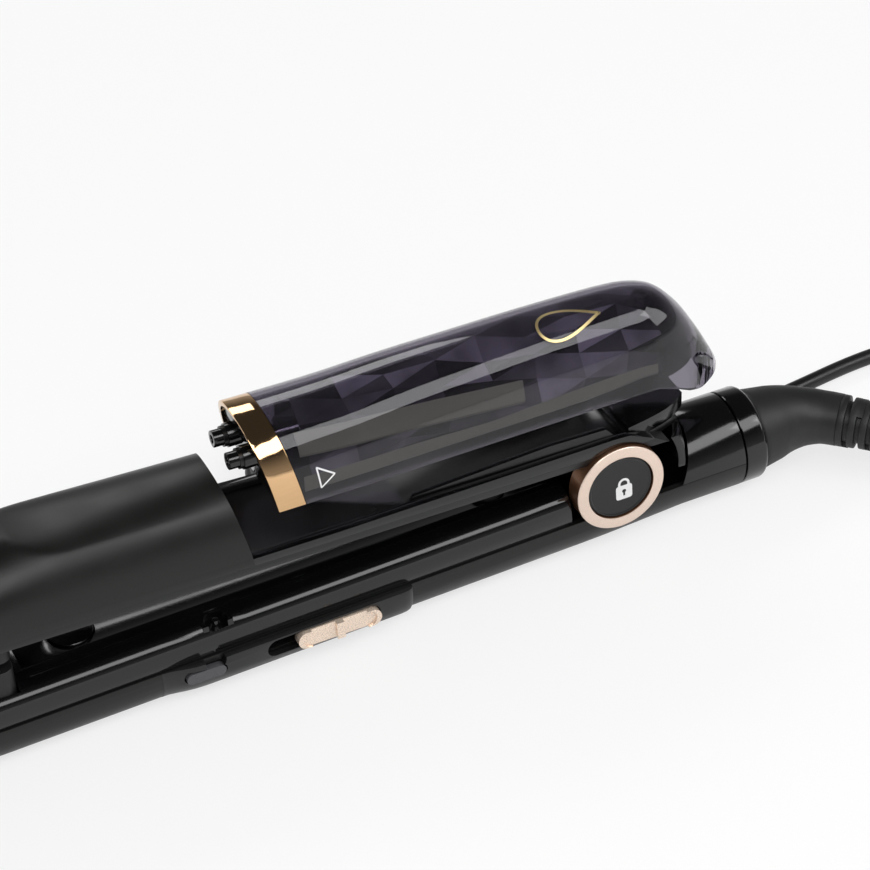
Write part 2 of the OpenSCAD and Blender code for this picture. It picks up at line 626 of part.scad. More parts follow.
// Ring of a hood at x that leans by k over the height z0, with its wall w
function hood_ring(x, a, low, spring, h, p, w, k, z0) = concat(
    [for (q = hood(a, low, spring, h, p)) [lean_x(x, q[1], z0, k), q[0], q[1]]],
    back([for (q = hood(a - w, low, spring, h - w, p)) [lean_x(x, q[1], z0, k), q[0], q[1]]]));
function hood_solid(x, a, low, spring, h, p, k, z0) =
    [for (q = hood(a, low, spring, h, p)) [lean_x(x, q[1], z0, k), q[0], q[1]]];
function cover_half(x) = half(x) * nose(x);

module upper_cover() color("#3a3a3b") upper() difference() {
    union() {
        loft(concat([for (x = stations(cover_rise))
            hood_ring(x, cover_half(x), cover_low, cover_spring, cover_height(x), 2.15, wall, 0, 0)],
            [hood_ring(-bay_front, half(-bay_front), cover_low, cover_spring, cover_arch, 2.15, wall, lean, rail_top)]));
        loft([for (x = [-arm_length, -arm_length + wall])
            hood_solid(x, cover_half(x), cover_low, cover_spring, cover_height(x), 2.15, 0, 0)]);
        // rails beside the tank bay and shoulders at the head, below the seat of the tank
        difference() {
            plan(-bay_front - 1, 20, 0, cover_low, head_top + 1);
            plan(-bay_front - 2, bay_rear, 2, cover_low - 1, head_top + 2);
            // hollow beside the head's cap
            difference() {
                plan(bay_rear - 1, 17, 2, cover_low + 2, head_top + 2);
                cap_prism(0, cover_low, head_top + 3);
            }
            above_seat();
        }
        // cap of the head under the tail of the tank
        cap_prism(0, cover_low, head_top + 0.4);
        // posts that hold the plate carrier
        for (x = cover_posts) translate([x, 0, cover_spring]) cylinder(r = 3.2, h = cover_height(x) - 0.8);
    }
    knob_space();
}
// Space over the seat line of the tank
module above_seat() translate([0, 40, 0]) rotate([90, 0, 0]) linear_extrude(80)
    polygon(concat([for (q = tank_low) [q[0], q[1] - seat_gap]], [[30, 60], [-113, 60]]));
module cap_prism(inset, z1, z2) translate([0, 0, z1]) linear_extrude(z2 - z1)
    polygon(concat([for (p = cap_side) p - [0, inset]], back([for (p = cap_side) [p[0], inset - p[1]]])));
function tank_half(x) = half(x) - lookup(x, tail_half);
module knob_space() both_sides() rod_y(knuckle_y[1], 22, knob_radius + 0.35);

module upper_trim() color("#121213") upper() difference() {
    union() {
        intersection() {
            plan(-arm_length + 0.8, 30, 0.4, trim_low, trim_top);
            union() {
                sphere(r = head_radius - 0.1, $fn = 96);
                block([-400, 0], [-40, 40], [-40, 40]);
            }
        }
        difference() {
            plan(-arm_length + wall + 2, -bay_front - 4, wall + 0.3, trim_top - 0.5, trim_top + 1.6);
            plan(-arm_length + wall + 3.4, -bay_front - 5.4, wall + 1.7, trim_top - 1, trim_top + 3);
        }
    }
    translate([0, 0, -hinge_height]) carrier_mouth();
    difference() {
        above_seat();
        cap_prism(0.1, trim_low - 1, 20);
        block([-200, 3], [-40, 40], [0, 40]);
    }
    knob_space();
    for (x = trim_screws) translate([x, 0, 0]) {
        cylinder(r = 1.25, h = 40);
        cylinder(r = 2.6, h = trim_low + 1.1);
    }
}
// Space of the level plate carrier, seen from the tilted arm
module carrier_mouth() translate([0, 0, hinge_height]) rotate([0, -tilt, 0]) translate([0, 0, -hinge_height])
    block([carrier_x[0] - 0.3, carrier_x[1] + 0.3], [-carrier_half - 0.3, carrier_half + 0.3], [20, 60]);

module upper_screws() color("#6d7076") upper() for (x = trim_screws) translate([x, 0, 0]) difference() {
    union() {
        translate([0, 0, trim_low + 0.2]) cylinder(r = 2.4, h = 0.9);
        translate([0, 0, trim_low + 0.5]) cylinder(r = 1.2, h = deck_top - trim_low - 1.3);
    }
    translate([-0.4, -1.6, trim_low]) cube([0.8, 3.2, 0.6]);
    translate([-1.6, -0.4, trim_low]) cube([3.2, 0.8, 0.6]);
}

module tank_bay() color("#0a0a0b") upper() {
    difference() {
        union() {
            plan(-bay_front - 1, bay_rear - 0.05, 2.05, trim_top + 0.05, deck_top);
            // sides beside the rails and the rear wall
            difference() {
                plan(-bay_front - 1, bay_rear - 0.05, 2.05, deck_top - 0.1, rail_top - 0.1);
                plan(-bay_front - 2, bay_rear - 1.5, 3.1, deck_top - 0.2, rail_top + 1);
            }
            plan(bay_rear - 1.5, bay_rear - 0.05, 2.9, deck_top - 0.1, head_top - 0.6);
            // wedges that guide the tank
            both_sides() translate([0, 12.8, 0]) rotate([90, 0, 0]) linear_extrude(1.6)
                polygon([[-62, deck_top - 0.1], [-60, rail_top + 0.8], [-20, rail_top + 3.8], [-3, rail_top + 3.8],
                    [2, deck_top - 0.1]]);
            // leaning wall with the two inlet sockets
            loft([for (x = [-bay_front - 2.4, -bay_front - 0.8]) hood_solid(x, half(x) - wall - 0.2, trim_top + 0.4,
                cover_spring, cover_arch - wall - 0.2, 2.15, lean, rail_top)]);
            intersection() {
                both_sides() rod_x(socket_end, -bay_front, 5, socket_y, socket_height);
                loft([for (x = [socket_end, -bay_front - 1]) hood_solid(x, half(x) - wall - 1, trim_top + 0.4,
                    cover_spring, cover_arch - wall - 1, 2.15, lean, rail_top)]);
            }
        }
        both_sides() rod_x(socket_end - 1, -bay_front + 3, nozzle_base / 2 + 0.35, socket_y, socket_height);
        for (x = trim_screws) translate([x, 0, trim_low])
            cylinder(r = screw_radius + fit, h = deck_top - trim_low - 0.6);
        knob_space();
    }
}

module inlet_seals() color("#7a2f25") upper() both_sides() difference() {
    rod_x(socket_end + 4.2, socket_end + 7.2, nozzle_base / 2 + 0.3, socket_y, socket_height);
    rod_x(socket_end, socket_end + 8, nozzle_diameter / 2 + 0.2, socket_y, socket_height);
}

module pump() color("#8d9196") upper() {
    block([pump_x[1], socket_end - 4], [-9, 9], [trim_top + 0.1, 30]);
    block([socket_end - 4.1, socket_end - 0.05], [-9, 9], [socket_height - 4, socket_height + 3]);
    rod_x(pump_x[0], pump_x[1] + 0.1, 5.5, 0, pump_axis);
}

module steam_pipe() color("#c8c4ba") upper() {
    rod_x(pipe_x, pump_x[0] - 0.05, 1.8, 0, pump_axis - 1);
    translate([pipe_x, 0, 13.6]) cylinder(r = 1.8, h = 7.4);
    translate([pipe_x, 0, 21]) sphere(r = 1.8);
}

module upper_plate() color("#b9b4ac") difference() {
    block(plate_x, [-plate_width / 2, plate_width / 2], [upper_plate_low, upper_plate_top]);
    both_sides() translate([0, plate_width / 2, upper_plate_low]) rotate([45, 0, 0])
        cube([plate_length * 3, 1, 1], center = true);
    for (i = [0 : 8]) translate([plate_x[0] + plate_length * (i + 1) / 10, vent_y, 20])
        cylinder(r = vent_diameter / 2, h = 30, $fn = 24);
}

module upper_heater() color("#d8d4c8")
    block([plate_x[0] + 8, plate_x[1] - 8], [-9, 9], [upper_plate_top, upper_plate_top + heater_thick]);

module steam_chamber() color("#a8a49b") difference() {
    union() {
        block([plate_x[0] + 5, plate_x[1] - 2], [-9.5, 9.5], [chamber_low, chamber_top]);
        block([plate_x[0] + 5, plate_x[1] - 5], [9, 12.6], [upper_plate_top, chamber_top - 1]);
    }
    // gallery over the steam outlets
    block([plate_x[0] + 7, plate_x[1] - 7], [9.4, 11.8], [upper_plate_top - 1, chamber_top - 2.5]);
}

module thermal_cutout() color("#c9a76a") {
    block([-222, -206], [-12.9, -9.6], [chamber_low + 0.6, chamber_low + 3.4]);
    rod_x(-206.1, -200, 0.6, -11.2, chamber_low + 2);
}

module upper_carrier() color("#27272a") {
    difference() {
        carrier_box(plate_plane + 1.6, chamber_top + 2, [20, chamber_top + 0.1]);
        translate([pipe_x, 0, 30]) cylinder(r = 2.6, h = 30);
        translate([-carrier_back - 12, 8, 30]) cylinder(r = 2, h = 30);
    }
    // bosses up to the posts of the cover
    difference() {
        upper() for (x = cover_posts) translate([x, 0, 5]) cylinder(r = 3.6, h = cover_spring - 5);
        block([-300, -150], [-20, 20], [0, chamber_top + 1]);
    }
}

module hinge_barrel() color("#1b1b1c") upper() {
    difference() {
        union() {
            rod_y(-barrel_half, barrel_half, 7);
            block([-7, 7], [-barrel_half, barrel_half], [0, trim_low]);
            block([6, 22], [-barrel_half, barrel_half], [trim_low - 3, trim_low]);
        }
        rod_y(-20, 20, pin_radius + fit);
    }
    // curved skirt that closes the tube's mouth
    intersection() {
        difference() {
            sphere(r = head_radius - 0.2, $fn = 96);
            sphere(r = head_radius - 1.9, $fn = 96);
        }
        union() {
            block([8, 40], [-10.2, 10.2], [-3.5, trim_low - 0.02]);
            block([knob_radius + 0.6, 40], [-13.4, 13.4], [-1.2, trim_low - 0.02]);
        }
    }
}

// Water tank, drawn seated and then moved to where it is photographed

module tank() { upper() translate([tank_back, 0, tank_lift]) children(); }
function tank_hood(x, inset, k = 0) = let (low = lookup(x, tank_low), top = lookup(x, tank_top) - inset,
    side = min(3, 0.3 * (top - low)))
    hood_solid(x, tank_half(x) - inset, low, low + side, top - low - side, 2.2, k, rail_top);
function tank_ring(x, k = 0) = concat(tank_hood(x, 0, k), back(tank_hood(x, tank_wall, k)));
// Half width inside the shell at the height z
function tank_inside(x, z) = let (low = lookup(x, tank_low) + 3, top = lookup(x, tank_top) - tank_wall)
    (tank_half(x) - tank_wall) * pow(1 - pow(max(z - low, 0) / (top - low), 2.2), 1 / 2.2);

module tank_shell() color("#8f8a8c") tank() {
    loft(concat([tank_ring(shell_start + 0.05, lean), tank_ring(-93, lean * 0.7), tank_ring(-83, 0)],
        [for (x = [-68.5, -48.5, -28.5, -8.5, 1.5, 5.5, 9.5, 12.5, 15.5, 17.5, 19.5, 21.5, 23.5, 25.5]) tank_ring(x)]));
    // thick clear end of the tail
    loft([for (e = [[25, 0.3], [25.6, 0], [26.4, 0], [27.1, 0], [27.7, 0], [28.1, 0], [tank_tip, 0]])
        tank_hood(e[0], e[1])]);
}

module tank_collar() color("#b9a893") tank()
    loft([for (x = [tank_face, shell_start]) tank_ring(x, lean)], open = true);

module tank_valve() color("#1c1b1d") tank() difference() {
    union() {
        loft([for (x = [tank_face + 0.7, tank_face + 2.7]) tank_hood(x, tank_wall + 0.08, lean)]);
        block([tank_face + 0.7, valve_end], [-11.4, -4], [22, 28.5]);
        both_sides() {
            rod_x(tank_face - 5.1, -108, nozzle_base / 2, socket_y, socket_height);
            rod_x(tank_face - 8.8, -108, nozzle_diameter / 2, socket_y, socket_height);
        }
    }
    both_sides() rod_x(tank_face - 10, -99, 1.2, socket_y, socket_height);
}

module nozzle_seals() color("#b5482f") tank() both_sides() difference() {
    rod_x(tank_face - 6.2, tank_face - 5.15, nozzle_diameter / 2 + 0.5, socket_y, socket_height);
    rod_x(tank_face - 7, tank_face - 5, nozzle_diameter / 2 + fit, socket_y, socket_height);
}

// Faceted trough that holds the water under the shell
function floor_z(x) = lookup(min(x, 3), tank_low) + 5.1;
function trough(x, odd) = let (z3 = floor_z(x), z2 = z3 + 4.4, z1 = min(lookup(x, tank_top) - 7, z3 + 11),
    w2 = tank_inside(x, z2) - 0.4 - (odd ? 2.6 : 0))
    [[-tank_inside(x, z1) + 0.3, z1], [-w2, z2], [-w2 + 3.2, z3], [w2 - 3.2, z3], [w2, z2], [tank_inside(x, z1) - 0.3, z1]];
function trough_ring(x, odd, solid) = let (t = trough(x, odd),
    inner = [for (i = [0 : 5]) t[i] + [t[i][0] > 0 ? -1.2 : 1.2, i == 0 || i == 5 ? 0 : 1.1]])
    [for (p = solid ? back(t) : concat(back(t), inner)) [x, p[0], p[1]]];
module tank_liner() color("#6d6678") tank() difference() {
    union() {
        loft([for (i = [0 : 8]) trough_ring(trough_x[0] + (trough_x[1] - trough_x[0]) * i / 8, i % 2 == 1, false)]);
        for (x = [trough_x[0], trough_x[1] - 1.2])
            loft([for (e = [0, 1.2]) [for (p = back(trough(x, false))) [x + e, p[0], p[1]]]]);
    }
    rod_x(trough_x[0] - 1, trough_x[0] + 2, pickup_radius + fit, -socket_y, pickup_z);
}

module tank_pickup() color("#d9d6cc") tank() difference() {
    union() {
        rod_x(valve_end + 0.05, 2, pickup_radius, -socket_y, pickup_z);
        translate([2, -socket_y, pickup_z - 0.2]) sphere(r = pickup_radius + 0.3);
    }
    rod_x(valve_end, 1, pickup_radius - 0.7, -socket_y, pickup_z);
}

module filler_plug() color("#19191a") tank() {
    rod_x(trough_x[1] + 0.05, trough_x[1] + 3.6, 4.4, 0, 24.6);
    rod_x(trough_x[1] + 3.5, trough_x[1] + 6.6, 3, 0, 21.6);
}

// Cord, wound part, tie and plug

function spline(p, i, t) = let (a = p[max(i - 1, 0)], b = p[i], c = p[i + 1], d = p[min(i + 2, len(p) - 1)])
    0.5 * (2 * b + (c - a) * t + (2 * a - 5 * b + 4 * c - d) * t * t + (3 * b - a - 3 * c + d) * t * t * t);
function smooth(p, n) = concat([for (i = [0 : len(p) - 2], k = [0 : n - 1]) spline(p, i, k / n)], [p[len(p) - 1]]);

module cord() color("#202020") sweep(cord_path, [for (p = cord_path) cord_diameter / 2], 8);

// Point k of the wound part, 24 to a loop: four along each run and eight round each turn
function hank_point(k) = let (u = k / 24, f = k - 24 * floor(u),
    r = hank_radius + hank_step * abs(hank_loops - u),
    z = hank_low + hank_rise * clamp((u - hank_loops) * 6),
    w = hank_waist * pow(sin(45 * (f % 4)), 2))
    f < 4 ? [hank_x + hank_run * (0.5 - f / 4), hank_y - r + w, z]
    : f < 12 ? [hank_x - hank_run / 2 - r * sin(22.5 * (f - 4)), hank_y - r * cos(22.5 * (f - 4)), z]
    : f < 16 ? [hank_x + hank_run * (f / 4 - 3.5), hank_y + r - w, z]
    : [hank_x + hank_run / 2 + r * sin(22.5 * (f - 16)), hank_y + r * cos(22.5 * (f - 16)), z];
function apart(p, a, b) = norm(p - a - clamp((p - a) * (b - a) / ((b - a) * (b - a))) * (b - a));
function path_length(p) = len(p) < 2 ? 0 : [for (i = [0 : len(p) - 2]) norm(p[i + 1] - p[i])] * [for (i = [0 : len(p) - 2]) 1];
echo(least_gap_in_the_wound_cord = hank_gap, cord_length = path_length(cord_path) + path_length(hank_path)
    + path_length(tail_path));
module cord_hank() color("#202020") sweep(hank_path, [for (p = hank_path) cord_diameter / 2], 6);

module cord_tail() color("#202020") sweep(tail_path, [for (p = tail_path) cord_diameter / 2], 8);

module hank_tie() color("#141414") {
    y = hank_out - hank_waist + cord_diameter / 2 + 0.9;
    low = hank_low - cord_diameter / 2 - 0.1;
    high = hank_low + hank_rise + cord_diameter / 2 + 0.1;
    difference() {
        block([hank_x - tie_width / 2, hank_x + tie_width / 2], [hank_y - y - tie_thick, hank_y + y + tie_thick],
            [low - tie_thick, high + tie_thick]);
        block([hank_x - tie_width, hank_x + tie_width], [hank_y - y, hank_y + y], [low, high]);
    }
}

module plug_body() color("#181818") {
    translate([plug_x - plug_sleeve, plug_y, plug_z]) rotate([0, 90, 0])
        cylinder(r1 = 5.4, r2 = 3.5, h = plug_sleeve);
    translate([0, 0, plug_z - 6.9]) linear_extrude(13.8) polygon([for (p = [[0, 6], [5, 11], [14, 16], [plug_body_length, 17.4],
        [plug_body_length, -17.4], [14, -16], [5, -11], [0, -6]]) [plug_x - plug_sleeve + 0.5 - p[0], plug_y + p[1]]]);
}

module plug_pins() color("#c9ccd1") for (s = [-9.5, 9.5])
    rod_x(plug_x - plug_sleeve - plug_body_length + 0.5 - pin_length, plug_x - plug_sleeve - plug_body_length + 0.5,
        pin_diameter / 2, plug_y + s, plug_z);

lower_cover();
lower_inner_shell();
inner_panel();
switch_panel();
slide_switch();
lamp_window();
power_button();
stop_pad();
circuit_board();
switch_body();
transformer();
lower_carrier();
lower_plate();
lower_heater();
plate_springs();
lower_screws();
hinge_pin();
opening_spring();
lock_ring();
lock_cap();
lock_spring();
hinge_cap();
rear_tube_top();
swivel_collar();
cord_guard();
upper_cover();
upper_trim();
tank_bay();
inlet_seals();
pump();
steam_pipe();
steam_chamber();
upper_carrier();
upper_plate();
upper_heater();
thermal_cutout();
hinge_barrel();
upper_screws();
tank_shell();
tank_collar();
tank_liner();
tank_valve();
nozzle_seals();
tank_pickup();
filler_plug();
cord();
cord_hank();
cord_tail();
hank_tie();
plug_body();
plug_pins();
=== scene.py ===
"""Steam hair straightener with a lifted water tank, dressed for the render.

The classes hold their sizes in millimetres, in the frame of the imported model: X runs along the
arms toward the cord, Z is up and the lock knob is on the -Y side. A mesh is turned into metres
when its piece is made.
"""

import logging
import math
from collections.abc import Callable, Iterator, Sequence
from contextlib import contextmanager
from dataclasses import dataclass
from enum import Enum

import bmesh
import bpy
import numpy as np
from mathutils import Matrix, Vector


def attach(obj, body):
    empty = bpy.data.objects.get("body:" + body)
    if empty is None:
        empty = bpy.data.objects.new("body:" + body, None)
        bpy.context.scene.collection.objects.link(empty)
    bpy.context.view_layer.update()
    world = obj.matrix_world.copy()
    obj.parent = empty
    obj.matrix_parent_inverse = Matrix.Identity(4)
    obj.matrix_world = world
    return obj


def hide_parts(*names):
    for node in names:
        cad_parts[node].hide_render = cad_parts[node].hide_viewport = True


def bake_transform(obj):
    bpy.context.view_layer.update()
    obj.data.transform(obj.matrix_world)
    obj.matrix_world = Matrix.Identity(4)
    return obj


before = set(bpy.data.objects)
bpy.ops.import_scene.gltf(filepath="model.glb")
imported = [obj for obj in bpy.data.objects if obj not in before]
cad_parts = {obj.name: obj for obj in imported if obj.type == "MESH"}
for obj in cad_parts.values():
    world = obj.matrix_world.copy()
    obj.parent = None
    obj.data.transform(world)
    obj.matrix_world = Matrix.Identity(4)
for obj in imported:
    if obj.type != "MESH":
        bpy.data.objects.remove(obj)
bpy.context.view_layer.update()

MM = 0.001
MERGE = 1e-4
SLIVER = 1e-3
FLAT_ANGLE = math.radians(0.15)
LOG = logging.getLogger("straightener")

Array = np.ndarray
Table = Sequence[tuple[float, float]]


class Body(Enum):
    """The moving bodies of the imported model."""

    LOWER = "lower_arm"
    UPPER = "upper_arm"
    TANK = "water_tank"
    SWITCH = "steam_switch"
    LOCK = "lock_button"
    POWER = "on_button"
    PLATE = "floating_plate"
    SWIVEL = "cord_swivel"


# Small shapes and tables


def lookup(x: Array | float, table: Table) -> Array:
    """Linear reading of a table of pairs at x."""
    keys, values = zip(*table)
    return np.interp(x, keys, values)


def arch(a: float, b: float, power: float, steps: int = 56) -> Array:
    """Half of a rounded box outline.

    Args:
        a: Half width of the arch.
        b: Height of the arch.
        power: 2 for an ellipse, higher for squarer corners.
        steps: Number of edges along the arch.

    Returns:
        Rows of (y, z) from -a over the crown to +a.
    """
    t = np.linspace(0, math.pi, steps + 1)
    c, s = np.cos(t), np.maximum(np.sin(t), 0)
    y = -a * np.sign(c) * np.abs(c) ** (2 / power)
    return np.stack([y, b * s ** (2 / power)], 1)


def fillet(outline: Sequence[Sequence[float]], radius: float, corners: Sequence[int],
           steps: int = 4) -> Array:
    """Rounds the named corners of a closed outline.

    Args:
        outline: Corners of the outline as (u, v).
        radius: Radius of the rounding.
        corners: Indices of the corners to round.
        steps: Number of edges in each rounding.

    Returns:
        The new outline, with the same number of points for the same corners.
    """
    points = np.asarray(outline, float)
    out: list[Array] = []
    for i, p in enumerate(points):
        if i not in corners:
            out.append(p)
            continue
        before, after = points[i - 1] - p, points[(i + 1) % len(points)] - p
        reach = min(radius, 0.45 * np.linalg.norm(before), 0.45 * np.linalg.norm(after))
        a = p + before / np.linalg.norm(before) * reach
        b = p + after / np.linalg.norm(after) * reach
        for t in np.linspace(0, 1, steps + 1):
            out.append((1 - t) ** 2 * a + 2 * t * (1 - t) * p + t ** 2 * b)
    return np.array(out)


def capsule(length: float, width: float, steps: int = 24) -> Array:
    """Outline of a slot with round ends, centred, as rows of (u, v)."""
    r, c = width / 2, (length - width) / 2
    t = np.linspace(-math.pi / 2, math.pi / 2, steps + 1)
    end = np.stack([c + r * np.cos(t), r * np.sin(t)], 1)
    return np.concatenate([end, -end])


def smooth_path(points: Sequence[Sequence[float]], steps: int) -> Array:
    """A Catmull-Rom curve through the points, with steps edges between two of them."""
    p = np.asarray(points, float)
    rows = []
    for i in range(len(p) - 1):
        a, b, c, d = p[max(i - 1, 0)], p[i], p[i + 1], p[min(i + 2, len(p) - 1)]
        for k in range(steps):
            t = k / steps
            rows.append(0.5 * (2 * b + (c - a) * t + (2 * a - 5 * b + 4 * c - d) * t ** 2
                               + (3 * b - a - 3 * c + d) * t ** 3))
    rows.append(p[-1])
    return np.array(rows)


def level_ring(axis: str, along: float, u: Array, v: Array) -> Array:
    """Points at one place along an axis, from their other two coordinates in order."""
    level = np.full(len(u), along)
    return np.column_stack({"x": (level, u, v), "y": (u, level, v), "z": (u, v, level)}[axis])


def linked(name: str, data: bpy.types.ID) -> bpy.types.Object:
    """A new object in the scene."""
    obj = bpy.data.objects.new(name, data)
    bpy.context.scene.collection.objects.link(obj)
    return obj


@contextmanager
def edited(mesh: bpy.types.Mesh) -> Iterator[bmesh.types.BMesh]:
    """Opens a mesh for editing and writes the result back."""
    work = bmesh.new()
    work.from_mesh(mesh)
    yield work
    work.to_mesh(mesh)
    work.free()


@dataclass
class Solid:
    """A closed shape in millimetres, as points and faces."""

    points: Array
    faces: list[tuple[int, ...]]

    @classmethod
    def loft(cls, rings: Sequence[Array]) -> "Solid":
        """Solid through closed rings of equal length, flat at both ends."""
        m, n = len(rings), len(rings[0])
        faces = [tuple(j * n + k for k in (i, (i + 1) % n, (i + 1) % n + n, i + n))
                 for j in range(m - 1) for i in range(n)]
        faces += [tuple(range(n))[::-1], tuple((m - 1) * n + i for i in range(n))]
        return cls(np.concatenate(rings), faces)

    @classmethod
    def shell(cls, outer: Sequence[Array], inner: Sequence[Array]) -> "Solid":
        """Open shell between outer and inner rings of equal length."""
        n = len(outer[0])
        rings = [np.concatenate([a, b[::-1]]) for a, b in zip(outer, inner)]
        m, w = len(rings), 2 * n
        faces = [tuple(j * w + k for k in (i, (i + 1) % w, (i + 1) % w + w, i + w))
                 for j in range(m - 1) for i in range(w)]
        for i in range(n - 1):
            strip = (i, i + 1, w - 2 - i, w - 1 - i)
            faces += [strip[::-1], tuple((m - 1) * w + k for k in strip)]
        return cls(np.concatenate(rings), faces)

    @classmethod
    def block(cls, x: Sequence[float], y: Sequence[float], z: Sequence[float]) -> "Solid":
        """Box between two corners."""
        ring = np.array([[y[0], z[0]], [y[0], z[1]], [y[1], z[1]], [y[1], z[0]]])
        return cls.prism(ring, x[0], x[1], "x")

    @classmethod
    def prism(cls, outline: Array, start: float, end: float, axis: str = "z") -> "Solid":
        """Prism of an outline along an axis; its two columns are the other axes in order."""
        return cls.loft([level_ring(axis, value, outline[:, 0], outline[:, 1])
                         for value in (start, end)])

    @classmethod
    def rod(cls, axis: str, start: float, end: float, radius: float, centre: Sequence[float] = (0, 0),
            steps: int = 96) -> "Solid":
        """Cylinder along an axis, with its centre on the other two."""
        t = np.linspace(0, 2 * math.pi, steps, endpoint=False)
        circle = np.stack([centre[0] + radius * np.cos(t), centre[1] + radius * np.sin(t)], 1)
        return cls.prism(circle, start, end, axis)

    @classmethod
    def lathe(cls, axis: str, profile: Sequence[Sequence[float]], centre: Sequence[float] = (0, 0),
              steps: int = 128) -> "Solid":
        """Turned shape.

        Args:
            axis: The axis that it turns about.
            profile: Closed outline as (place along the axis, radius); a radius of 0 is a pole.
            centre: Place of the axis on the other two.
            steps: Number of edges round the axis.

        Returns:
            The closed shape.
        """
        t = np.linspace(0, 2 * math.pi, steps, endpoint=False)
        rings = []
        for along, radius in profile:
            u, v = centre[0] + radius * np.cos(t), centre[1] + radius * np.sin(t)
            rings.append(level_ring(axis, along, u, v))
        m, n = len(rings), steps
        faces = [(j * n + i, j * n + (i + 1) % n, (j + 1) % m * n + (i + 1) % n, (j + 1) % m * n + i)
                 for j in range(m) for i in range(n)]
        return cls(np.concatenate(rings), faces)


class Bench:
    """A mesh under work, in millimetres, that shapes are cut from or joined to."""

    def __init__(self, solid: Solid) -> None:
        """Puts a first shape on the bench."""
        self.obj = self._object(solid)

    @staticmethod
    def _object(solid: Solid) -> bpy.types.Object:
        """A hidden object with the shape's mesh, its doubles merged and its faces outward."""
        mesh = bpy.data.meshes.new("bench")
        mesh.from_pydata(solid.points.tolist(), [], solid.faces)
        with edited(mesh) as work:
            bmesh.ops.remove_doubles(work, verts=work.verts, dist=MERGE)
            bmesh.ops.dissolve_degenerate(work, edges=work.edges, dist=MERGE / 10)
            bmesh.ops.recalc_face_normals(work, faces=work.faces)
        return linked("bench", mesh)

    def _combine(self, tool: Solid, operation: str) -> "Bench":
        """Runs one boolean with a tool shape and keeps its result."""
        other = self._object(tool)
        modifier = self.obj.modifiers.new("combine", "BOOLEAN")
        modifier.operation = operation
        modifier.solver = "MANIFOLD"
        modifier.object = other
        self._keep_evaluated()
        bpy.data.objects.remove(other)
        return self

    def _keep_evaluated(self) -> None:
        """Replaces the mesh by the one that its modifiers make."""
        graph = bpy.context.evaluated_depsgraph_get()
        made = bpy.data.meshes.new_from_object(self.obj.evaluated_get(graph))
        self.obj.modifiers.clear()
        self.obj.data = made

    def cut(self, *tools: Solid) -> "Bench":
        """Takes the tool shapes away."""
        for tool in tools:
            self._combine(tool, "DIFFERENCE")
        return self

    def join(self, *tools: Solid) -> "Bench":
        """Adds the tool shapes."""
        for tool in tools:
            self._combine(tool, "UNION")
        return self

    def keep(self, *tools: Solid) -> "Bench":
        """Keeps only what lies inside each tool shape."""
        for tool in tools:
            self._combine(tool, "INTERSECT")
        return self

    def soften(self, width: float, steps: int = 2, angle: float = 32) -> "Bench":
        """Rounds the edges that are sharper than an angle in degrees."""
        with edited(self.obj.data) as work:
            bmesh.ops.remove_doubles(work, verts=work.verts, dist=2 * SLIVER)
            bmesh.ops.dissolve_degenerate(work, edges=work.edges, dist=SLIVER)
            bmesh.ops.dissolve_limit(work, angle_limit=FLAT_ANGLE, verts=work.verts, edges=work.edges)
        modifier = self.obj.modifiers.new("soften", "BEVEL")
        modifier.limit_method = "ANGLE"
        modifier.angle_limit = math.radians(angle)
        modifier.width = width
        modifier.segments = steps
        modifier.use_clamp_overlap = True
        modifier.miter_outer = "MITER_ARC"
        self._keep_evaluated()
        return self

    def taken(self) -> Solid:
        """Takes the shape off the bench, for use as a tool."""
        data = self.obj.data
        corners = np.array([v.co[:] for v in data.vertices])
        bpy.data.objects.remove(self.obj)
        return Solid(corners, [tuple(p.vertices) for p in data.polygons])

    def mesh(self, name: str, smooth: float = 28) -> bpy.types.Mesh:
        """Takes the finished mesh off the bench, in metres.

        Args:
            name: Name of the mesh.
            smooth: Edges sharper than this angle in degrees stay sharp.

        Returns:
            The mesh.
        """
        mesh = self.obj.data
        bpy.data.objects.remove(self.obj)
        mesh.name = name
        mesh.transform(Matrix.Scale(MM, 4))
        shade(mesh, smooth)
        return mesh


def shade(mesh: bpy.types.Mesh, angle: float) -> None:
    """Smooths a mesh but for the edges sharper than an angle in degrees."""
    mesh.polygons.foreach_set("use_smooth", [True] * len(mesh.polygons))
    mesh.set_sharp_from_angle(angle=math.radians(angle))


def plain_mesh(name: str, points: Array, faces: Sequence[Sequence[int]],
               smooth: float = 28) -> bpy.types.Mesh:
    """A mesh in metres from points in millimetres, with its faces turned outward."""
    return Bench(Solid(np.asarray(points, float), [tuple(f) for f in faces])).mesh(name, smooth)


def place(name: str, mesh: bpy.types.Mesh, body: Body, finish: "Finish", replaces: Sequence[str] = (),
          slot: str | None = None) -> bpy.types.Object:
    """Makes a finished piece of a mesh and ties it to its body.

    Args:
        name: Name of the piece.
        mesh: Its mesh, in metres and in place.
        body: The body that it moves with.
        finish: Its surface.
        replaces: CAD nodes that it stands for.
        slot: Not used.

    Returns:
        The piece.
    """
    obj = linked(name, mesh)
    mesh.materials.clear()
    mesh.materials.append(finish.material())
    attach(obj, body.value)
    if replaces:
        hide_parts(*replaces)
    LOG.info("%s: %d faces on %s", name, len(mesh.polygons), body.value)
    return obj


def second_finish(obj: bpy.types.Object, finish: "Finish",
                  chosen: Callable[[bpy.types.MeshPolygon], bool]) -> None:
    """Gives some faces of a piece another finish.

    Args:
        obj: The piece.
        finish: The other surface.
        chosen: Says of a face whether it gets it.
    """
    obj.data.materials.append(finish.material())
    for face in obj.data.polygons:
        face.material_index = int(chosen(face))


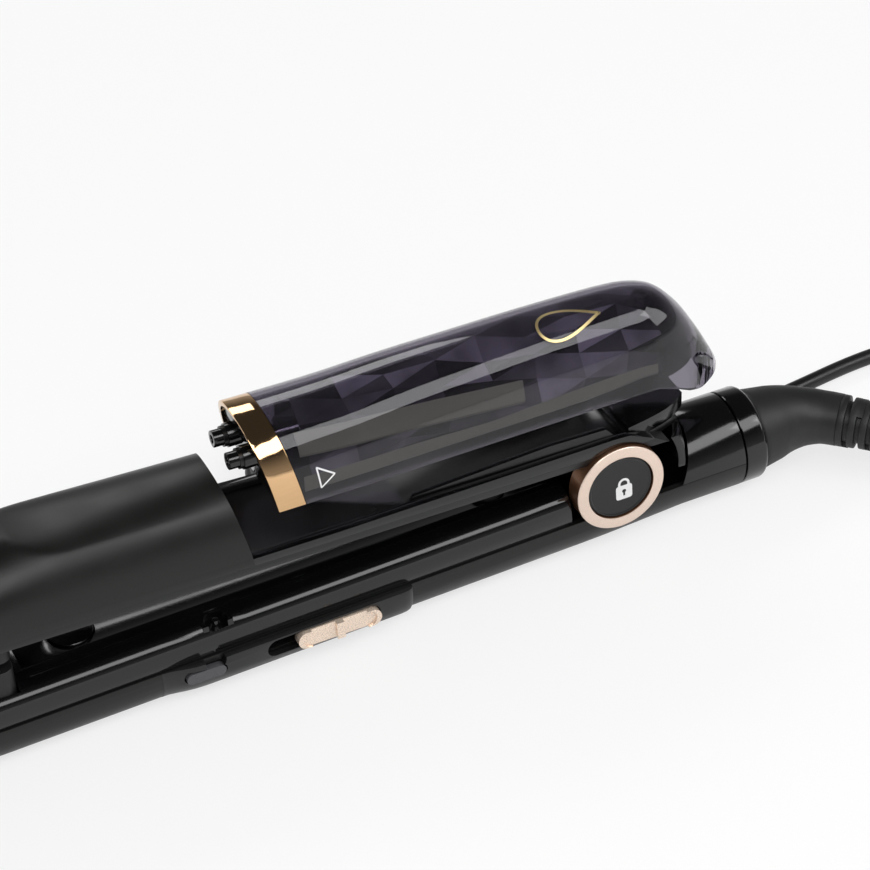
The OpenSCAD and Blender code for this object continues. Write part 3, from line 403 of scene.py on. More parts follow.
def stand_in(name: str, node: str, width: float, body: Body, finish: "Finish",
             steps: int = 2) -> bpy.types.Object:
    """Puts a copy of a CAD node, with its edges rounded, in the node's place."""
    return place(name, rounded_copy(node, width, steps), body, finish, (node,))


def rounded_copy(node: str, width: float, steps: int = 2, angle: float = 30) -> bpy.types.Mesh:
    """A merged copy of a CAD node's mesh with its edges rounded.

    Args:
        node: Name of the CAD node.
        width: Width of the rounding in millimetres.
        steps: Number of edges across it.
        angle: Edges sharper than this angle in degrees are rounded.

    Returns:
        The mesh in metres.
    """
    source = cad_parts[node].data
    flat = np.zeros(3 * len(source.vertices))
    source.vertices.foreach_get("co", flat)
    points = flat.reshape(-1, 3) / MM
    faces = [tuple(p.vertices) for p in source.polygons]
    return Bench(Solid(points, faces)).soften(width, steps, angle).mesh(node + "_edges")


# Node trees and finishes


# Patterns: scales per metre, depths in metres
MOTTLE_SCALE = 60.0
WEAR_SCALE = 900.0
SPECK_SCALE = 1100.0
THIN_OUT_SCALE = 140.0
SPARKLE_SCALE = 9500.0
GRAIN_HEIGHT = 0.00004
BRUSH_HEIGHT = 0.00002
SPARKLE_HEIGHT = 0.00003
DUST_COLOUR = (0.2, 0.2, 0.19, 1)
COAT_ROUGHNESS = 0.04


class Graph:
    """A node tree under construction."""

    def __init__(self, tree: bpy.types.NodeTree) -> None:
        """Starts from an empty tree."""
        self.tree = tree
        tree.nodes.clear()

    def node(self, kind: str, inputs: dict[str | int, object] | None = None,
             **settings: object) -> bpy.types.Node:
        """Adds a node.

        Args:
            kind: Its type.
            inputs: Values or sockets for its inputs, by name or index.
            settings: Its properties.

        Returns:
            The node.
        """
        node = self.tree.nodes.new(kind)
        for key, value in settings.items():
            setattr(node, key, value)
        self.fill(node, inputs or {})
        return node

    def fill(self, node: bpy.types.Node, inputs: dict[str | int, object]) -> None:
        """Links or sets several inputs of a node."""
        for key, value in inputs.items():
            self.feed(node.inputs[key], value)

    def feed(self, socket: bpy.types.NodeSocket, value: object) -> None:
        """Links a socket to another, or sets its plain value."""
        if isinstance(value, bpy.types.NodeSocket):
            self.tree.links.new(value, socket)
        else:
            socket.default_value = value

    def maths(self, operation: str, a: object, b: object = 0.0,
              clamp: bool = False) -> bpy.types.NodeSocket:
        """One arithmetic step on two values."""
        return self.node("ShaderNodeMath", {0: a, 1: b}, operation=operation,
                         use_clamp=clamp).outputs[0]

    def mix(self, factor: object, a: object, b: object) -> bpy.types.NodeSocket:
        """Mix of two colours."""
        return self.node("ShaderNodeMix", {0: factor, 6: a, 7: b}, data_type="RGBA").outputs[2]

    def spread(self, value: object, low: float, high: float, to_low: float = 0,
               to_high: float = 1) -> bpy.types.NodeSocket:
        """A value taken from one range to another, and held inside it."""
        return self.node("ShaderNodeMapRange", {0: value, 1: low, 2: high, 3: to_low,
                                                4: to_high}).outputs[0]

    def place(self, scale: Sequence[float] = (1, 1, 1)) -> bpy.types.NodeSocket:
        """Object coordinates, stretched."""
        source = self.node("ShaderNodeTexCoord").outputs["Object"]
        return self.node("ShaderNodeMapping", {"Vector": source, "Scale": tuple(scale)}).outputs[0]

    def noise(self, scale: object, detail: float = 2.0, where: object = None) -> bpy.types.NodeSocket:
        """Cloudy noise, at object coordinates if no others are given."""
        where = self.place() if where is None else where
        return self.node("ShaderNodeTexNoise",
                         {"Vector": where, "Scale": scale, "Detail": detail}).outputs[0]

    def bump(self, strength: object, distance: float, height: object) -> bpy.types.NodeSocket:
        """A normal that is bumped by a height."""
        return self.node("ShaderNodeBump", {"Strength": strength, "Distance": distance,
                                            "Height": height}).outputs[0]


def shader_group(name: str, inputs: dict[str, float], outputs: dict[str, str],
                 build: Callable[[Graph, dict[str, bpy.types.NodeSocket]],
                                 dict[str, object]]) -> bpy.types.NodeTree:
    """A shader node group, built once.

    Args:
        name: Name of the group.
        inputs: Its value inputs with their defaults.
        outputs: Its outputs with their socket types.
        build: Fills the group and returns what feeds each output.

    Returns:
        The group.
    """
    known = bpy.data.node_groups.get(name)
    if known:
        return known
    tree = bpy.data.node_groups.new(name, "ShaderNodeTree")
    for key, value in inputs.items():
        tree.interface.new_socket(key, in_out="INPUT",
                                  socket_type="NodeSocketFloat").default_value = value
    for key, kind in outputs.items():
        tree.interface.new_socket(key, in_out="OUTPUT", socket_type=kind)
    graph = Graph(tree)
    start = graph.node("NodeGroupInput")
    made = build(graph, {key: start.outputs[key] for key in inputs})
    graph.node("NodeGroupOutput", made)
    return tree


def grain_group() -> bpy.types.NodeTree:
    """Fine moulded grain: a bumped normal, and a broad mottle."""

    def build(g: Graph, i: dict[str, bpy.types.NodeSocket]) -> dict[str, object]:
        """Two layers of noise, the fine one as a bump."""
        where = g.place()
        fine, wide = g.noise(i["Scale"], 2.0, where), g.noise(MOTTLE_SCALE, 3.0, where)
        return {"Normal": g.bump(i["Depth"], GRAIN_HEIGHT, fine), "Mottle": wide}

    return shader_group("moulded_grain", {"Scale": 4000.0, "Depth": 0.3},
                        {"Normal": "NodeSocketVector", "Mottle": "NodeSocketFloat"}, build)


def wear_group() -> bpy.types.NodeTree:
    """Mask that is white along the edges of a piece, broken up by noise."""

    def build(g: Graph, i: dict[str, bpy.types.NodeSocket]) -> dict[str, object]:
        """Angle between the true and the rounded normal."""
        round_normal = g.node("ShaderNodeBevel", {"Radius": i["Radius"]}, samples=4).outputs[0]
        true_normal = g.node("ShaderNodeNewGeometry").outputs["Normal"]
        dot = g.node("ShaderNodeVectorMath", {0: round_normal, 1: true_normal},
                     operation="DOT_PRODUCT").outputs["Value"]
        noise = g.noise(WEAR_SCALE, 4.0)
        edge = g.spread(dot, 0.99, 0.8)
        broken = g.maths("MULTIPLY", edge, g.spread(noise, 0.35, 0.65))
        return {"Mask": g.maths("MULTIPLY", broken, i["Amount"], clamp=True)}

    return shader_group("edge_wear", {"Radius": 0.0003, "Amount": 0.5}, {"Mask": "NodeSocketFloat"},
                        build)


def dust_group() -> bpy.types.NodeTree:
    """Mask of a few fine specks."""

    def build(g: Graph, i: dict[str, bpy.types.NodeSocket]) -> dict[str, object]:
        """Small cells of a pattern, thinned out by noise."""
        where = g.place()
        cells = g.node("ShaderNodeTexVoronoi", {"Vector": where, "Scale": SPECK_SCALE})
        noise = g.noise(THIN_OUT_SCALE, where=where)
        speck = g.spread(cells.outputs["Distance"], 0.12, 0.04)
        return {"Mask": g.maths("MULTIPLY", g.maths("MULTIPLY", speck, g.spread(noise, 0.55, 0.7)),
                                i["Amount"])}

    return shader_group("dust", {"Amount": 0.3}, {"Mask": "NodeSocketFloat"}, build)


def brush_group() -> bpy.types.NodeTree:
    """Fine lines along X, as a bumped normal and a streak value."""

    def build(g: Graph, i: dict[str, bpy.types.NodeSocket]) -> dict[str, object]:
        """Noise stretched along one axis."""
        lines = g.noise(i["Scale"], 3.0, g.place((0.02, 1, 1)))
        return {"Normal": g.bump(i["Depth"], BRUSH_HEIGHT, lines), "Streak": lines}

    return shader_group("brushed_lines", {"Scale": 5000.0, "Depth": 0.3},
                        {"Normal": "NodeSocketVector", "Streak": "NodeSocketFloat"}, build)


Colour = tuple[float, float, float]


def srgb(red: float, green: float, blue: float) -> Colour:
    """Linear colour of a display colour given from 0 to 255."""
    return tuple((c / 255 / 12.92) if c <= 10 else ((c / 255 + 0.055) / 1.055) ** 2.4
                 for c in (red, green, blue))


@dataclass(frozen=True)
class Finish:
    """Surface of a piece. Its subclasses say what it is made of."""

    name: str
    colour: Colour

    def material(self) -> bpy.types.Material:
        """The Blender material of this finish, made on first use."""
        title = f"{self.name}_finish"
        known = bpy.data.materials.get(title)
        if known:
            return known
        made = bpy.data.materials.new(title)
        made.use_nodes = True
        graph = Graph(made.node_tree)
        shader = graph.node("ShaderNodeBsdfPrincipled", {"Base Color": self.tone()})
        graph.node("ShaderNodeOutputMaterial", {"Surface": shader.outputs[0]})
        self.dress(graph, shader)
        return made

    def tone(self, factor: float = 1.0, lift: float = 0.0) -> tuple[float, float, float, float]:
        """The colour made lighter or darker, and opaque."""
        return (*(min(1.0, c * factor + lift) for c in self.colour), 1)

    def dress(self, graph: Graph, shader: bpy.types.Node) -> None:
        """Feeds the shader; each kind of finish has its own way."""
        raise NotImplementedError


@dataclass(frozen=True)
class Moulding(Finish):
    """Moulded plastic or rubber."""

    roughness: float = 0.35
    uneven: float = 0.06
    grain: float = 0.25
    grain_scale: float = 4000.0
    specular: float = 0.5
    coat: float = 0.0
    wear: float = 0.25
    dust: float = 0.15

    def dress(self, graph: Graph, shader: bpy.types.Node) -> None:
        """Grain in the normal, mottle in the roughness, wear and specks in the colour."""
        grain = graph.node("ShaderNodeGroup", {"Scale": self.grain_scale, "Depth": self.grain},
                           node_tree=grain_group())
        wear = graph.node("ShaderNodeGroup", {"Amount": self.wear}, node_tree=wear_group())
        dust = graph.node("ShaderNodeGroup", {"Amount": self.dust}, node_tree=dust_group())
        mottle, specks = grain.outputs["Mottle"], dust.outputs["Mask"]
        base = graph.mix(mottle, self.tone(0.82), self.tone())
        worn = graph.mix(wear.outputs["Mask"], base, self.tone(2.2, 0.012))
        rough = graph.spread(mottle, 0.3, 0.7, self.roughness - self.uneven,
                             self.roughness + self.uneven)
        dull = graph.maths("MULTIPLY", specks, 0.3)
        graph.fill(shader, {
            "Base Color": graph.mix(specks, worn, DUST_COLOUR),
            "Roughness": graph.maths("ADD", rough, dull, clamp=True),
            "Normal": grain.outputs["Normal"],
            "Specular IOR Level": self.specular,
            "Coat Weight": self.coat,
            "Coat Roughness": COAT_ROUGHNESS,
        })


@dataclass(frozen=True)
class Metal(Finish):
    """Bare or plated metal."""

    roughness: float = 0.2
    uneven: float = 0.05
    brush: float = 0.3
    brush_scale: float = 5000.0
    wear: float = 0.2

    def dress(self, graph: Graph, shader: bpy.types.Node) -> None:
        """Brushed lines in the normal and the roughness."""
        lines = graph.node("ShaderNodeGroup", {"Scale": self.brush_scale, "Depth": self.brush},
                           node_tree=brush_group())
        wear = graph.node("ShaderNodeGroup", {"Amount": self.wear}, node_tree=wear_group())
        streak = lines.outputs["Streak"]
        streaked = graph.mix(streak, self.tone(0.88), self.tone())
        graph.fill(shader, {
            "Base Color": graph.mix(wear.outputs["Mask"], streaked, self.tone(1.2)),
            "Roughness": graph.spread(streak, 0.3, 0.7, self.roughness - self.uneven,
                                      self.roughness + self.uneven),
            "Normal": lines.outputs["Normal"],
            "Metallic": 1.0,
        })


@dataclass(frozen=True)
class Sparkle(Finish):
    """Metallised paint with a fine glitter."""

    roughness: float = 0.34
    metallic: float = 0.65
    uneven: float = 0.06
    glitter: float = 0.22
    coat: float = 0.3

    def dress(self, graph: Graph, shader: bpy.types.Node) -> None:
        """Small cells that tilt the normal and change the tone."""
        cells = graph.node("ShaderNodeTexVoronoi", {"Vector": graph.place(), "Scale": SPARKLE_SCALE})
        tone = graph.node("ShaderNodeSeparateColor", {0: cells.outputs["Color"]}).outputs[0]
        graph.fill(shader, {
            "Base Color": graph.mix(tone, self.tone(0.88), self.tone(1.06)),
            "Normal": graph.bump(self.glitter, SPARKLE_HEIGHT, tone),
            "Roughness": graph.spread(tone, 0, 1, self.roughness - self.uneven,
                                      self.roughness + self.uneven),
            "Metallic": self.metallic,
            "Coat Weight": self.coat,
            "Coat Roughness": 0.1,
        })


@dataclass(frozen=True)
class Clear(Finish):
    """Clear tinted plastic."""

    roughness: float = 0.02
    ior: float = 1.46
    shadow: float = 0.85

    def dress(self, graph: Graph, shader: bpy.types.Node) -> None:
        """Glass that lets the lamps' light through."""
        haze = graph.noise(90.0)
        light = graph.node("ShaderNodeLightPath").outputs["Is Shadow Ray"]
        graph.fill(shader, {
            "Roughness": graph.spread(haze, 0.3, 0.8, self.roughness, self.roughness + 0.02),
            "Alpha": graph.maths("SUBTRACT", 1.0, graph.maths("MULTIPLY", light, self.shadow)),
            "Transmission Weight": 1.0,
            "IOR": self.ior,
        })


@dataclass(frozen=True)
class Facet(Finish):
    """Cut inner faces, some painted lighter at random: painted light that the facets catch."""

    painted_light: Colour
    roughness: float = 0.12

    def dress(self, graph: Graph, shader: bpy.types.Node) -> None:
        """Painted light from the mesh's random share, with a soft cloud over it."""
        tone = graph.node("ShaderNodeAttribute", attribute_name="tone").outputs["Fac"]
        cloud = graph.noise(70.0)
        share = graph.maths("MULTIPLY", tone, graph.spread(cloud, 0.35, 0.65, 0.35, 1.0))
        graph.fill(shader, {
            "Base Color": graph.mix(share, self.tone(), (*self.painted_light, 1)),
            "Roughness": graph.spread(cloud, 0.3, 0.7, self.roughness, self.roughness + 0.1),
        })


# The finishes of this straightener
SATIN_COVER = Moulding("satin_cover", srgb(17, 17, 16), specular=0.4, roughness=0.37, uneven=0.05,
                       grain=0.35, grain_scale=3600.0)
GLOSS_BLACK = Moulding("gloss_black", srgb(8, 8, 9), roughness=0.14, uneven=0.03, grain=0.06, coat=0.2,
                       wear=0.1)
SATIN_BLACK = Moulding("satin_black", srgb(14, 14, 15), roughness=0.33, grain=0.2, grain_scale=5000.0)
PANEL_BLACK = Moulding("panel_black", srgb(22, 22, 23), roughness=0.36, grain=0.3, grain_scale=5000.0)
RING_GOLD = Sparkle("ring_gold", srgb(238, 216, 200))
# Darker copy of the ring's sparkle for its rim: painted shade.
RING_SHADED_SIDE = Sparkle("ring_side", srgb(140, 100, 74), metallic=0.85)
SWITCH_GOLD = Sparkle("switch_gold", srgb(244, 223, 204), roughness=0.3, glitter=0.1)
COLLAR_GOLD = Metal("collar_gold", srgb(226, 186, 140), roughness=0.07, uneven=0.02, brush=0.05,
                    wear=0.1)
EMBLEM_GOLD = Metal("emblem_gold", srgb(240, 216, 158), roughness=0.42, brush=0.1)
WHITE_PRINT = Moulding("white_print", srgb(236, 236, 236), roughness=0.5, grain=0.1, wear=0, dust=0)
LAMP_LENS = Moulding("lamp_lens", srgb(70, 70, 74), roughness=0.3, grain=0.1, coat=0.3)
CARRIER = Moulding("carrier_plastic", srgb(20, 20, 22), roughness=0.45, grain=0.4, grain_scale=3000.0)
CERAMIC = Metal("ceramic_coat", srgb(150, 144, 138), roughness=0.3, uneven=0.06, brush=0.2,
                brush_scale=3000.0)
SINTER = Moulding("sintered_heater", srgb(214, 210, 200), roughness=0.7, grain=0.6, grain_scale=2500.0)
BOARD = Moulding("board_green", srgb(24, 84, 48), roughness=0.4, grain=0.3, grain_scale=2000.0,
                 coat=0.3)
INNER_GREY = Moulding("inner_grey", srgb(120, 124, 130), roughness=0.45, grain=0.3)
IRON = Metal("iron_core", srgb(90, 92, 98), roughness=0.45, brush=0.6, brush_scale=1500.0)
SILICONE = Moulding("red_silicone", srgb(150, 60, 44), roughness=0.5, grain=0.2)
STEEL = Metal("plain_steel", srgb(170, 172, 176), roughness=0.3)
ALLOY = Metal("cast_alloy", srgb(168, 164, 156), roughness=0.5, uneven=0.1, brush=0.6,
              brush_scale=1200.0)
TUBE_WHITE = Moulding("natural_tube", srgb(214, 210, 200), roughness=0.4, grain=0.15)
BRASS = Metal("plain_brass", srgb(200, 164, 100), roughness=0.28)
SMOKE_CLEAR = Clear("smoke_clear", srgb(122, 117, 129), roughness=0.01)
# Dark facets; the second colour is painted light, laid on at random per face.
FACET_DARK = Facet("facet_dark", srgb(10, 10, 12), srgb(216, 211, 226))
BAY_BLACK = Moulding("bay_black", srgb(9, 9, 10), roughness=0.22, grain=0.12, wear=0.15)
# Pale bands inside the tank: painted reflections of a strip light.
PAINTED_REFLECTION_GREY = Moulding("strip_grey", srgb(206, 214, 180), roughness=0.5, uneven=0.08, grain=0.3, wear=0)
SEAL_BLACK = Moulding("seal_black", srgb(12, 12, 12), roughness=0.3, grain=0.2)
RUBBER = Moulding("guard_rubber", srgb(26, 26, 27), roughness=0.52, uneven=0.05, grain=0.5,
                  grain_scale=3000.0)
SHEATH = Moulding("cord_sheath", srgb(20, 20, 21), roughness=0.4, grain=0.2, grain_scale=3500.0)
STRAP = Moulding("tie_strap", srgb(18, 18, 19), roughness=0.6, grain=0.5, grain_scale=2200.0)
PLUG_BLACK = Moulding("plug_moulding", srgb(22, 22, 23), roughness=0.46, grain=0.4, grain_scale=3000.0)
NICKEL = Metal("pin_nickel", srgb(196, 194, 188), roughness=0.22)


def dress(finish: Finish, *nodes: str) -> None:
    """Gives CAD nodes that stay as they are their surface."""
    for node in nodes:
        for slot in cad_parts[node].material_slots:
            slot.material = finish.material()
        LOG.info("%s: %s", node, finish.name)


# Geometry nodes


def geometry_tree(name: str, inputs: dict[str, str],
                  build: Callable[[Graph, bpy.types.Node], object]) -> bpy.types.NodeTree:
    """A geometry node tree that ends in plain geometry with its material.

    Args:
        name: Name of the tree.
        inputs: Its named inputs with their socket types, after the geometry.
        build: Makes the geometry from the group's input node.

    Returns:
        The tree.
    """
    known = bpy.data.node_groups.get(name)
    if known:
        return known
    tree = bpy.data.node_groups.new(name, "GeometryNodeTree")
    for key, kind in {"Geometry": "NodeSocketGeometry", **inputs,
                      "Material": "NodeSocketMaterial"}.items():
        tree.interface.new_socket(key, in_out="INPUT", socket_type=kind)
    tree.interface.new_socket("Geometry", in_out="OUTPUT", socket_type="NodeSocketGeometry")
    graph = Graph(tree)
    start = graph.node("NodeGroupInput")
    made = graph.node("GeometryNodeRealizeInstances", {"Geometry": build(graph, start)})
    dressed = graph.node("GeometryNodeSetMaterial",
                         {"Geometry": made.outputs[0], "Material": start.outputs["Material"]})
    graph.node("NodeGroupOutput", {0: dressed.outputs[0]})
    return tree


def sweep_tree() -> bpy.types.NodeTree:
    """Round tube along the edges of a mesh, as thick as its attribute says."""

    def build(g: Graph, start: bpy.types.Node) -> object:
        """Turns the edges into a curve and gives it a round profile."""
        curve = g.node("GeometryNodeMeshToCurve", {"Mesh": start.outputs["Geometry"]})
        circle = g.node("GeometryNodeCurvePrimitiveCircle",
                        {"Resolution": start.outputs["Sides"], "Radius": 1.0})
        thick = g.node("GeometryNodeInputNamedAttribute", {"Name": "thick"},
                       data_type="FLOAT").outputs["Attribute"]
        sized = g.node("GeometryNodeSetCurveRadius", {"Curve": curve.outputs[0], "Radius": thick})
        tube = g.node("GeometryNodeCurveToMesh",
                      {"Curve": sized.outputs[0], "Profile Curve": circle.outputs[0],
                       "Fill Caps": True})
        if "Scale" in tube.inputs:
            g.feed(tube.inputs["Scale"], thick)
        return g.node("GeometryNodeMergeByDistance",
                      {"Geometry": tube.outputs[0], "Distance": 1e-7}).outputs[0]

    return geometry_tree("tube_along_path", {"Sides": "NodeSocketInt"}, build)


def repeat_tree() -> bpy.types.NodeTree:
    """A copy of a piece at each point, turned and sized by the points' attributes."""

    def build(g: Graph, start: bpy.types.Node) -> object:
        """Puts the piece on the points."""
        piece = g.node("GeometryNodeObjectInfo", {"Object": start.outputs["Piece"]}).outputs["Geometry"]
        turn, size = (g.node("GeometryNodeInputNamedAttribute", {"Name": key},
                             data_type="FLOAT_VECTOR").outputs["Attribute"]
                      for key in ("turn", "size"))
        return g.node("GeometryNodeInstanceOnPoints",
                      {"Points": start.outputs["Geometry"], "Instance": piece,
                       "Rotation": turn, "Scale": size}).outputs[0]

    return geometry_tree("piece_on_points", {"Piece": "NodeSocketObject"}, build)


def run_tree(name: str, base: bpy.types.Mesh, tree: bpy.types.NodeTree,
             inputs: dict[str, object]) -> bpy.types.Mesh:
    """Runs a geometry node tree on a mesh.

    Args:
        name: Name of the new mesh.
        base: The mesh that goes in.
        tree: The tree.
        inputs: Values of its named inputs.

    Returns:
        The plain mesh that comes out.
    """
    obj = linked(name, base)
    modifier = obj.modifiers.new(name, "NODES")
    modifier.node_group = tree
    for item in tree.interface.items_tree:
        if item.in_out == "INPUT" and item.name in inputs:
            modifier[item.identifier] = inputs[item.name]
    made = bpy.data.meshes.new_from_object(obj.evaluated_get(bpy.context.evaluated_depsgraph_get()))
    bpy.data.objects.remove(obj)
    made.name = name
    return made


def tube(name: str, path: Array, thick: Array | float, finish: Finish,
         sides: int = 20) -> bpy.types.Mesh:
    """A tube along points in millimetres, of one radius or of one at each point."""
    base = bpy.data.meshes.new(name)
    base.from_pydata((path * MM).tolist(), [(i, i + 1) for i in range(len(path) - 1)], [])
    base.attributes.new("thick", "FLOAT", "POINT").data.foreach_set("value", np.broadcast_to(
        np.asarray(thick, float) * MM, len(path)).astype(np.float32))
    mesh = run_tree(name, base, sweep_tree(), {"Sides": sides, "Material": finish.material()})
    shade(mesh, 40)
    return mesh


def repeated(name: str, piece: bpy.types.Mesh, points: Array, turns: Array, sizes: Array,
             finish: Finish) -> bpy.types.Mesh:
    """Copies of a piece in metres at points in millimetres, turned by Euler angles and sized."""
    base = bpy.data.meshes.new(name)
    base.from_pydata((np.asarray(points, float) * MM).tolist(), [], [])
    for key, rows in (("turn", turns), ("size", sizes)):
        base.attributes.new(key, "FLOAT_VECTOR", "POINT").data.foreach_set(
            "vector", np.asarray(rows, np.float32).ravel())
    holder = linked(name + "_one", piece)
    mesh = run_tree(name, base, repeat_tree(), {"Piece": holder, "Material": finish.material()})
    bpy.data.objects.remove(holder)
    shade(mesh, 32)
    return mesh


# Studio


@dataclass
class Lamp:
    """A softbox that looks at the object."""

    name: str
    place: tuple[float, float, float]
    size: tuple[float, float]
    power: float


@dataclass
class Studio:
    """Camera, floor, light from all round and the lamps."""

    lens: float = 128.263
    azimuth: float = -22.07
    elevation: float = 36.87
    roll: float = -4.59
    eye: tuple[float, float, float] = (-293.99, -610.42, 541.23)
    aim: tuple[float, float, float] = (-0.06, 0, 0.03)
    floor_half: float = 4.0
    floor_tones: tuple[float, float] = (0.82, 0.85)
    glow: float = 0.7
    mirrored: float = 0.5
    ambient: float = 0.4
    heights: tuple[float, float] = (0.05, 0.5)
    levels: tuple[float, float] = (0.34, 0.04)
    lamps: tuple[Lamp, ...] = (
        Lamp("key_softbox", (-0.55, -0.75, 1.25), (0.9, 0.5), 6.0),
        Lamp("long_softbox", (0.35, -0.8, 0.95), (1.3, 0.5), 8.0),
        Lamp("side_softbox", (1.15, -0.55, 0.75), (0.5, 0.8), 4.0),
        Lamp("back_softbox", (-0.2, 1.1, 0.95), (1.3, 0.35), 5.0),
    )

    def camera(self) -> None:
        """Puts the camera where the photograph was taken from."""
        a, e, r = (math.radians(v) for v in (self.azimuth, self.elevation, self.roll))
        right = Vector((math.cos(a), math.sin(a), 0))
        forward = Vector((-math.sin(a) * math.cos(e), math.cos(a) * math.cos(e), -math.sin(e)))
        up = right.cross(forward)
        x, y = right * math.cos(r) + up * math.sin(r), up * math.cos(r) - right * math.sin(r)
        camera = linked("camera", bpy.data.cameras.new("camera"))
        camera.data.lens = self.lens
        camera.data.clip_start = 0.01
        camera.matrix_world = (Matrix.Translation(Vector(self.eye) * MM)
                               @ Matrix((x, y, -forward)).transposed().to_4x4())
        bpy.context.scene.camera = camera

    def seen(self, graph: Graph) -> bpy.types.NodeSocket:
        """Mask of the rays that show the background."""
        path = graph.node("ShaderNodeLightPath")
        glossy = graph.maths("MULTIPLY", path.outputs["Is Glossy Ray"], self.mirrored)
        first = graph.maths("MAXIMUM", path.outputs["Is Camera Ray"], glossy)
        return graph.maths("MAXIMUM", first, path.outputs["Is Transmission Ray"])

    def floor(self) -> None:
        """Lays the pale floor."""
        h = self.floor_half
        mesh = bpy.data.meshes.new("studio_floor")
        mesh.from_pydata([(-h, -h, 0), (h, -h, 0), (h, h, 0), (-h, h, 0)], [], [(0, 1, 2, 3)])
        made = bpy.data.materials.new("studio_floor")
        made.use_nodes = True
        graph = Graph(made.node_tree)
        tone = graph.mix(graph.noise(3.0), *((v, v, v, 1) for v in self.floor_tones))
        plain = graph.node("ShaderNodeBsdfPrincipled",
                           {"Base Color": tone, "Roughness": 0.9, "Specular IOR Level": 0.1})
        light = graph.node("ShaderNodeEmission", {"Color": (1, 1, 1, 1), "Strength": 1.0})
        share = graph.maths("MULTIPLY", self.seen(graph), self.glow)
        both = graph.node("ShaderNodeMixShader", {0: share, 1: plain.outputs[0], 2: light.outputs[0]})
        graph.node("ShaderNodeOutputMaterial", {"Surface": both.outputs[0]})
        mesh.materials.append(made)
        linked("studio_floor", mesh)

    def world(self) -> None:
        """Even light from all round; mirrors see it pale at the horizon and dim overhead."""
        world = bpy.data.worlds.new("studio")
        bpy.context.scene.world = world
        world.use_nodes = True
        graph = Graph(world.node_tree)
        ray = graph.node("ShaderNodeSeparateXYZ",
                         {0: graph.node("ShaderNodeTexCoord").outputs["Generated"]})
        path = graph.node("ShaderNodeLightPath")
        dim = graph.spread(ray.outputs["Z"], *self.heights, *self.levels)
        level = graph.node("ShaderNodeMix", {0: path.outputs["Is Glossy Ray"], 2: self.ambient,
                                             3: dim}).outputs[0]
        shown = graph.maths("MAXIMUM", path.outputs["Is Camera Ray"],
                            path.outputs["Is Transmission Ray"])
        strength = graph.node("ShaderNodeMix", {0: shown, 2: level, 3: 1.0}).outputs[0]
        back = graph.node("ShaderNodeBackground", {"Color": (1, 1, 1, 1), "Strength": strength})
        graph.node("ShaderNodeOutputWorld", {"Surface": back.outputs[0]})

    def light(self) -> None:
        """Hangs the softboxes."""
        for lamp in self.lamps:
            data = bpy.data.lights.new(lamp.name, "AREA")
            data.shape = "RECTANGLE"
            data.size, data.size_y = lamp.size
            data.energy = lamp.power
            obj = linked(lamp.name, data)
            direction = Vector(self.aim) - Vector(lamp.place)
            turn = direction.to_track_quat("-Z", "Y").to_matrix().to_4x4()
            obj.matrix_world = Matrix.Translation(lamp.place) @ turn

    def build(self) -> None:
        """Sets up the whole studio."""
        self.camera()
        self.floor()
        self.world()
        self.light()
        view = bpy.context.scene.view_settings
        view.view_transform = "Standard"
        LOG.info("studio: %d lamps", len(self.lamps))


# Mains lead


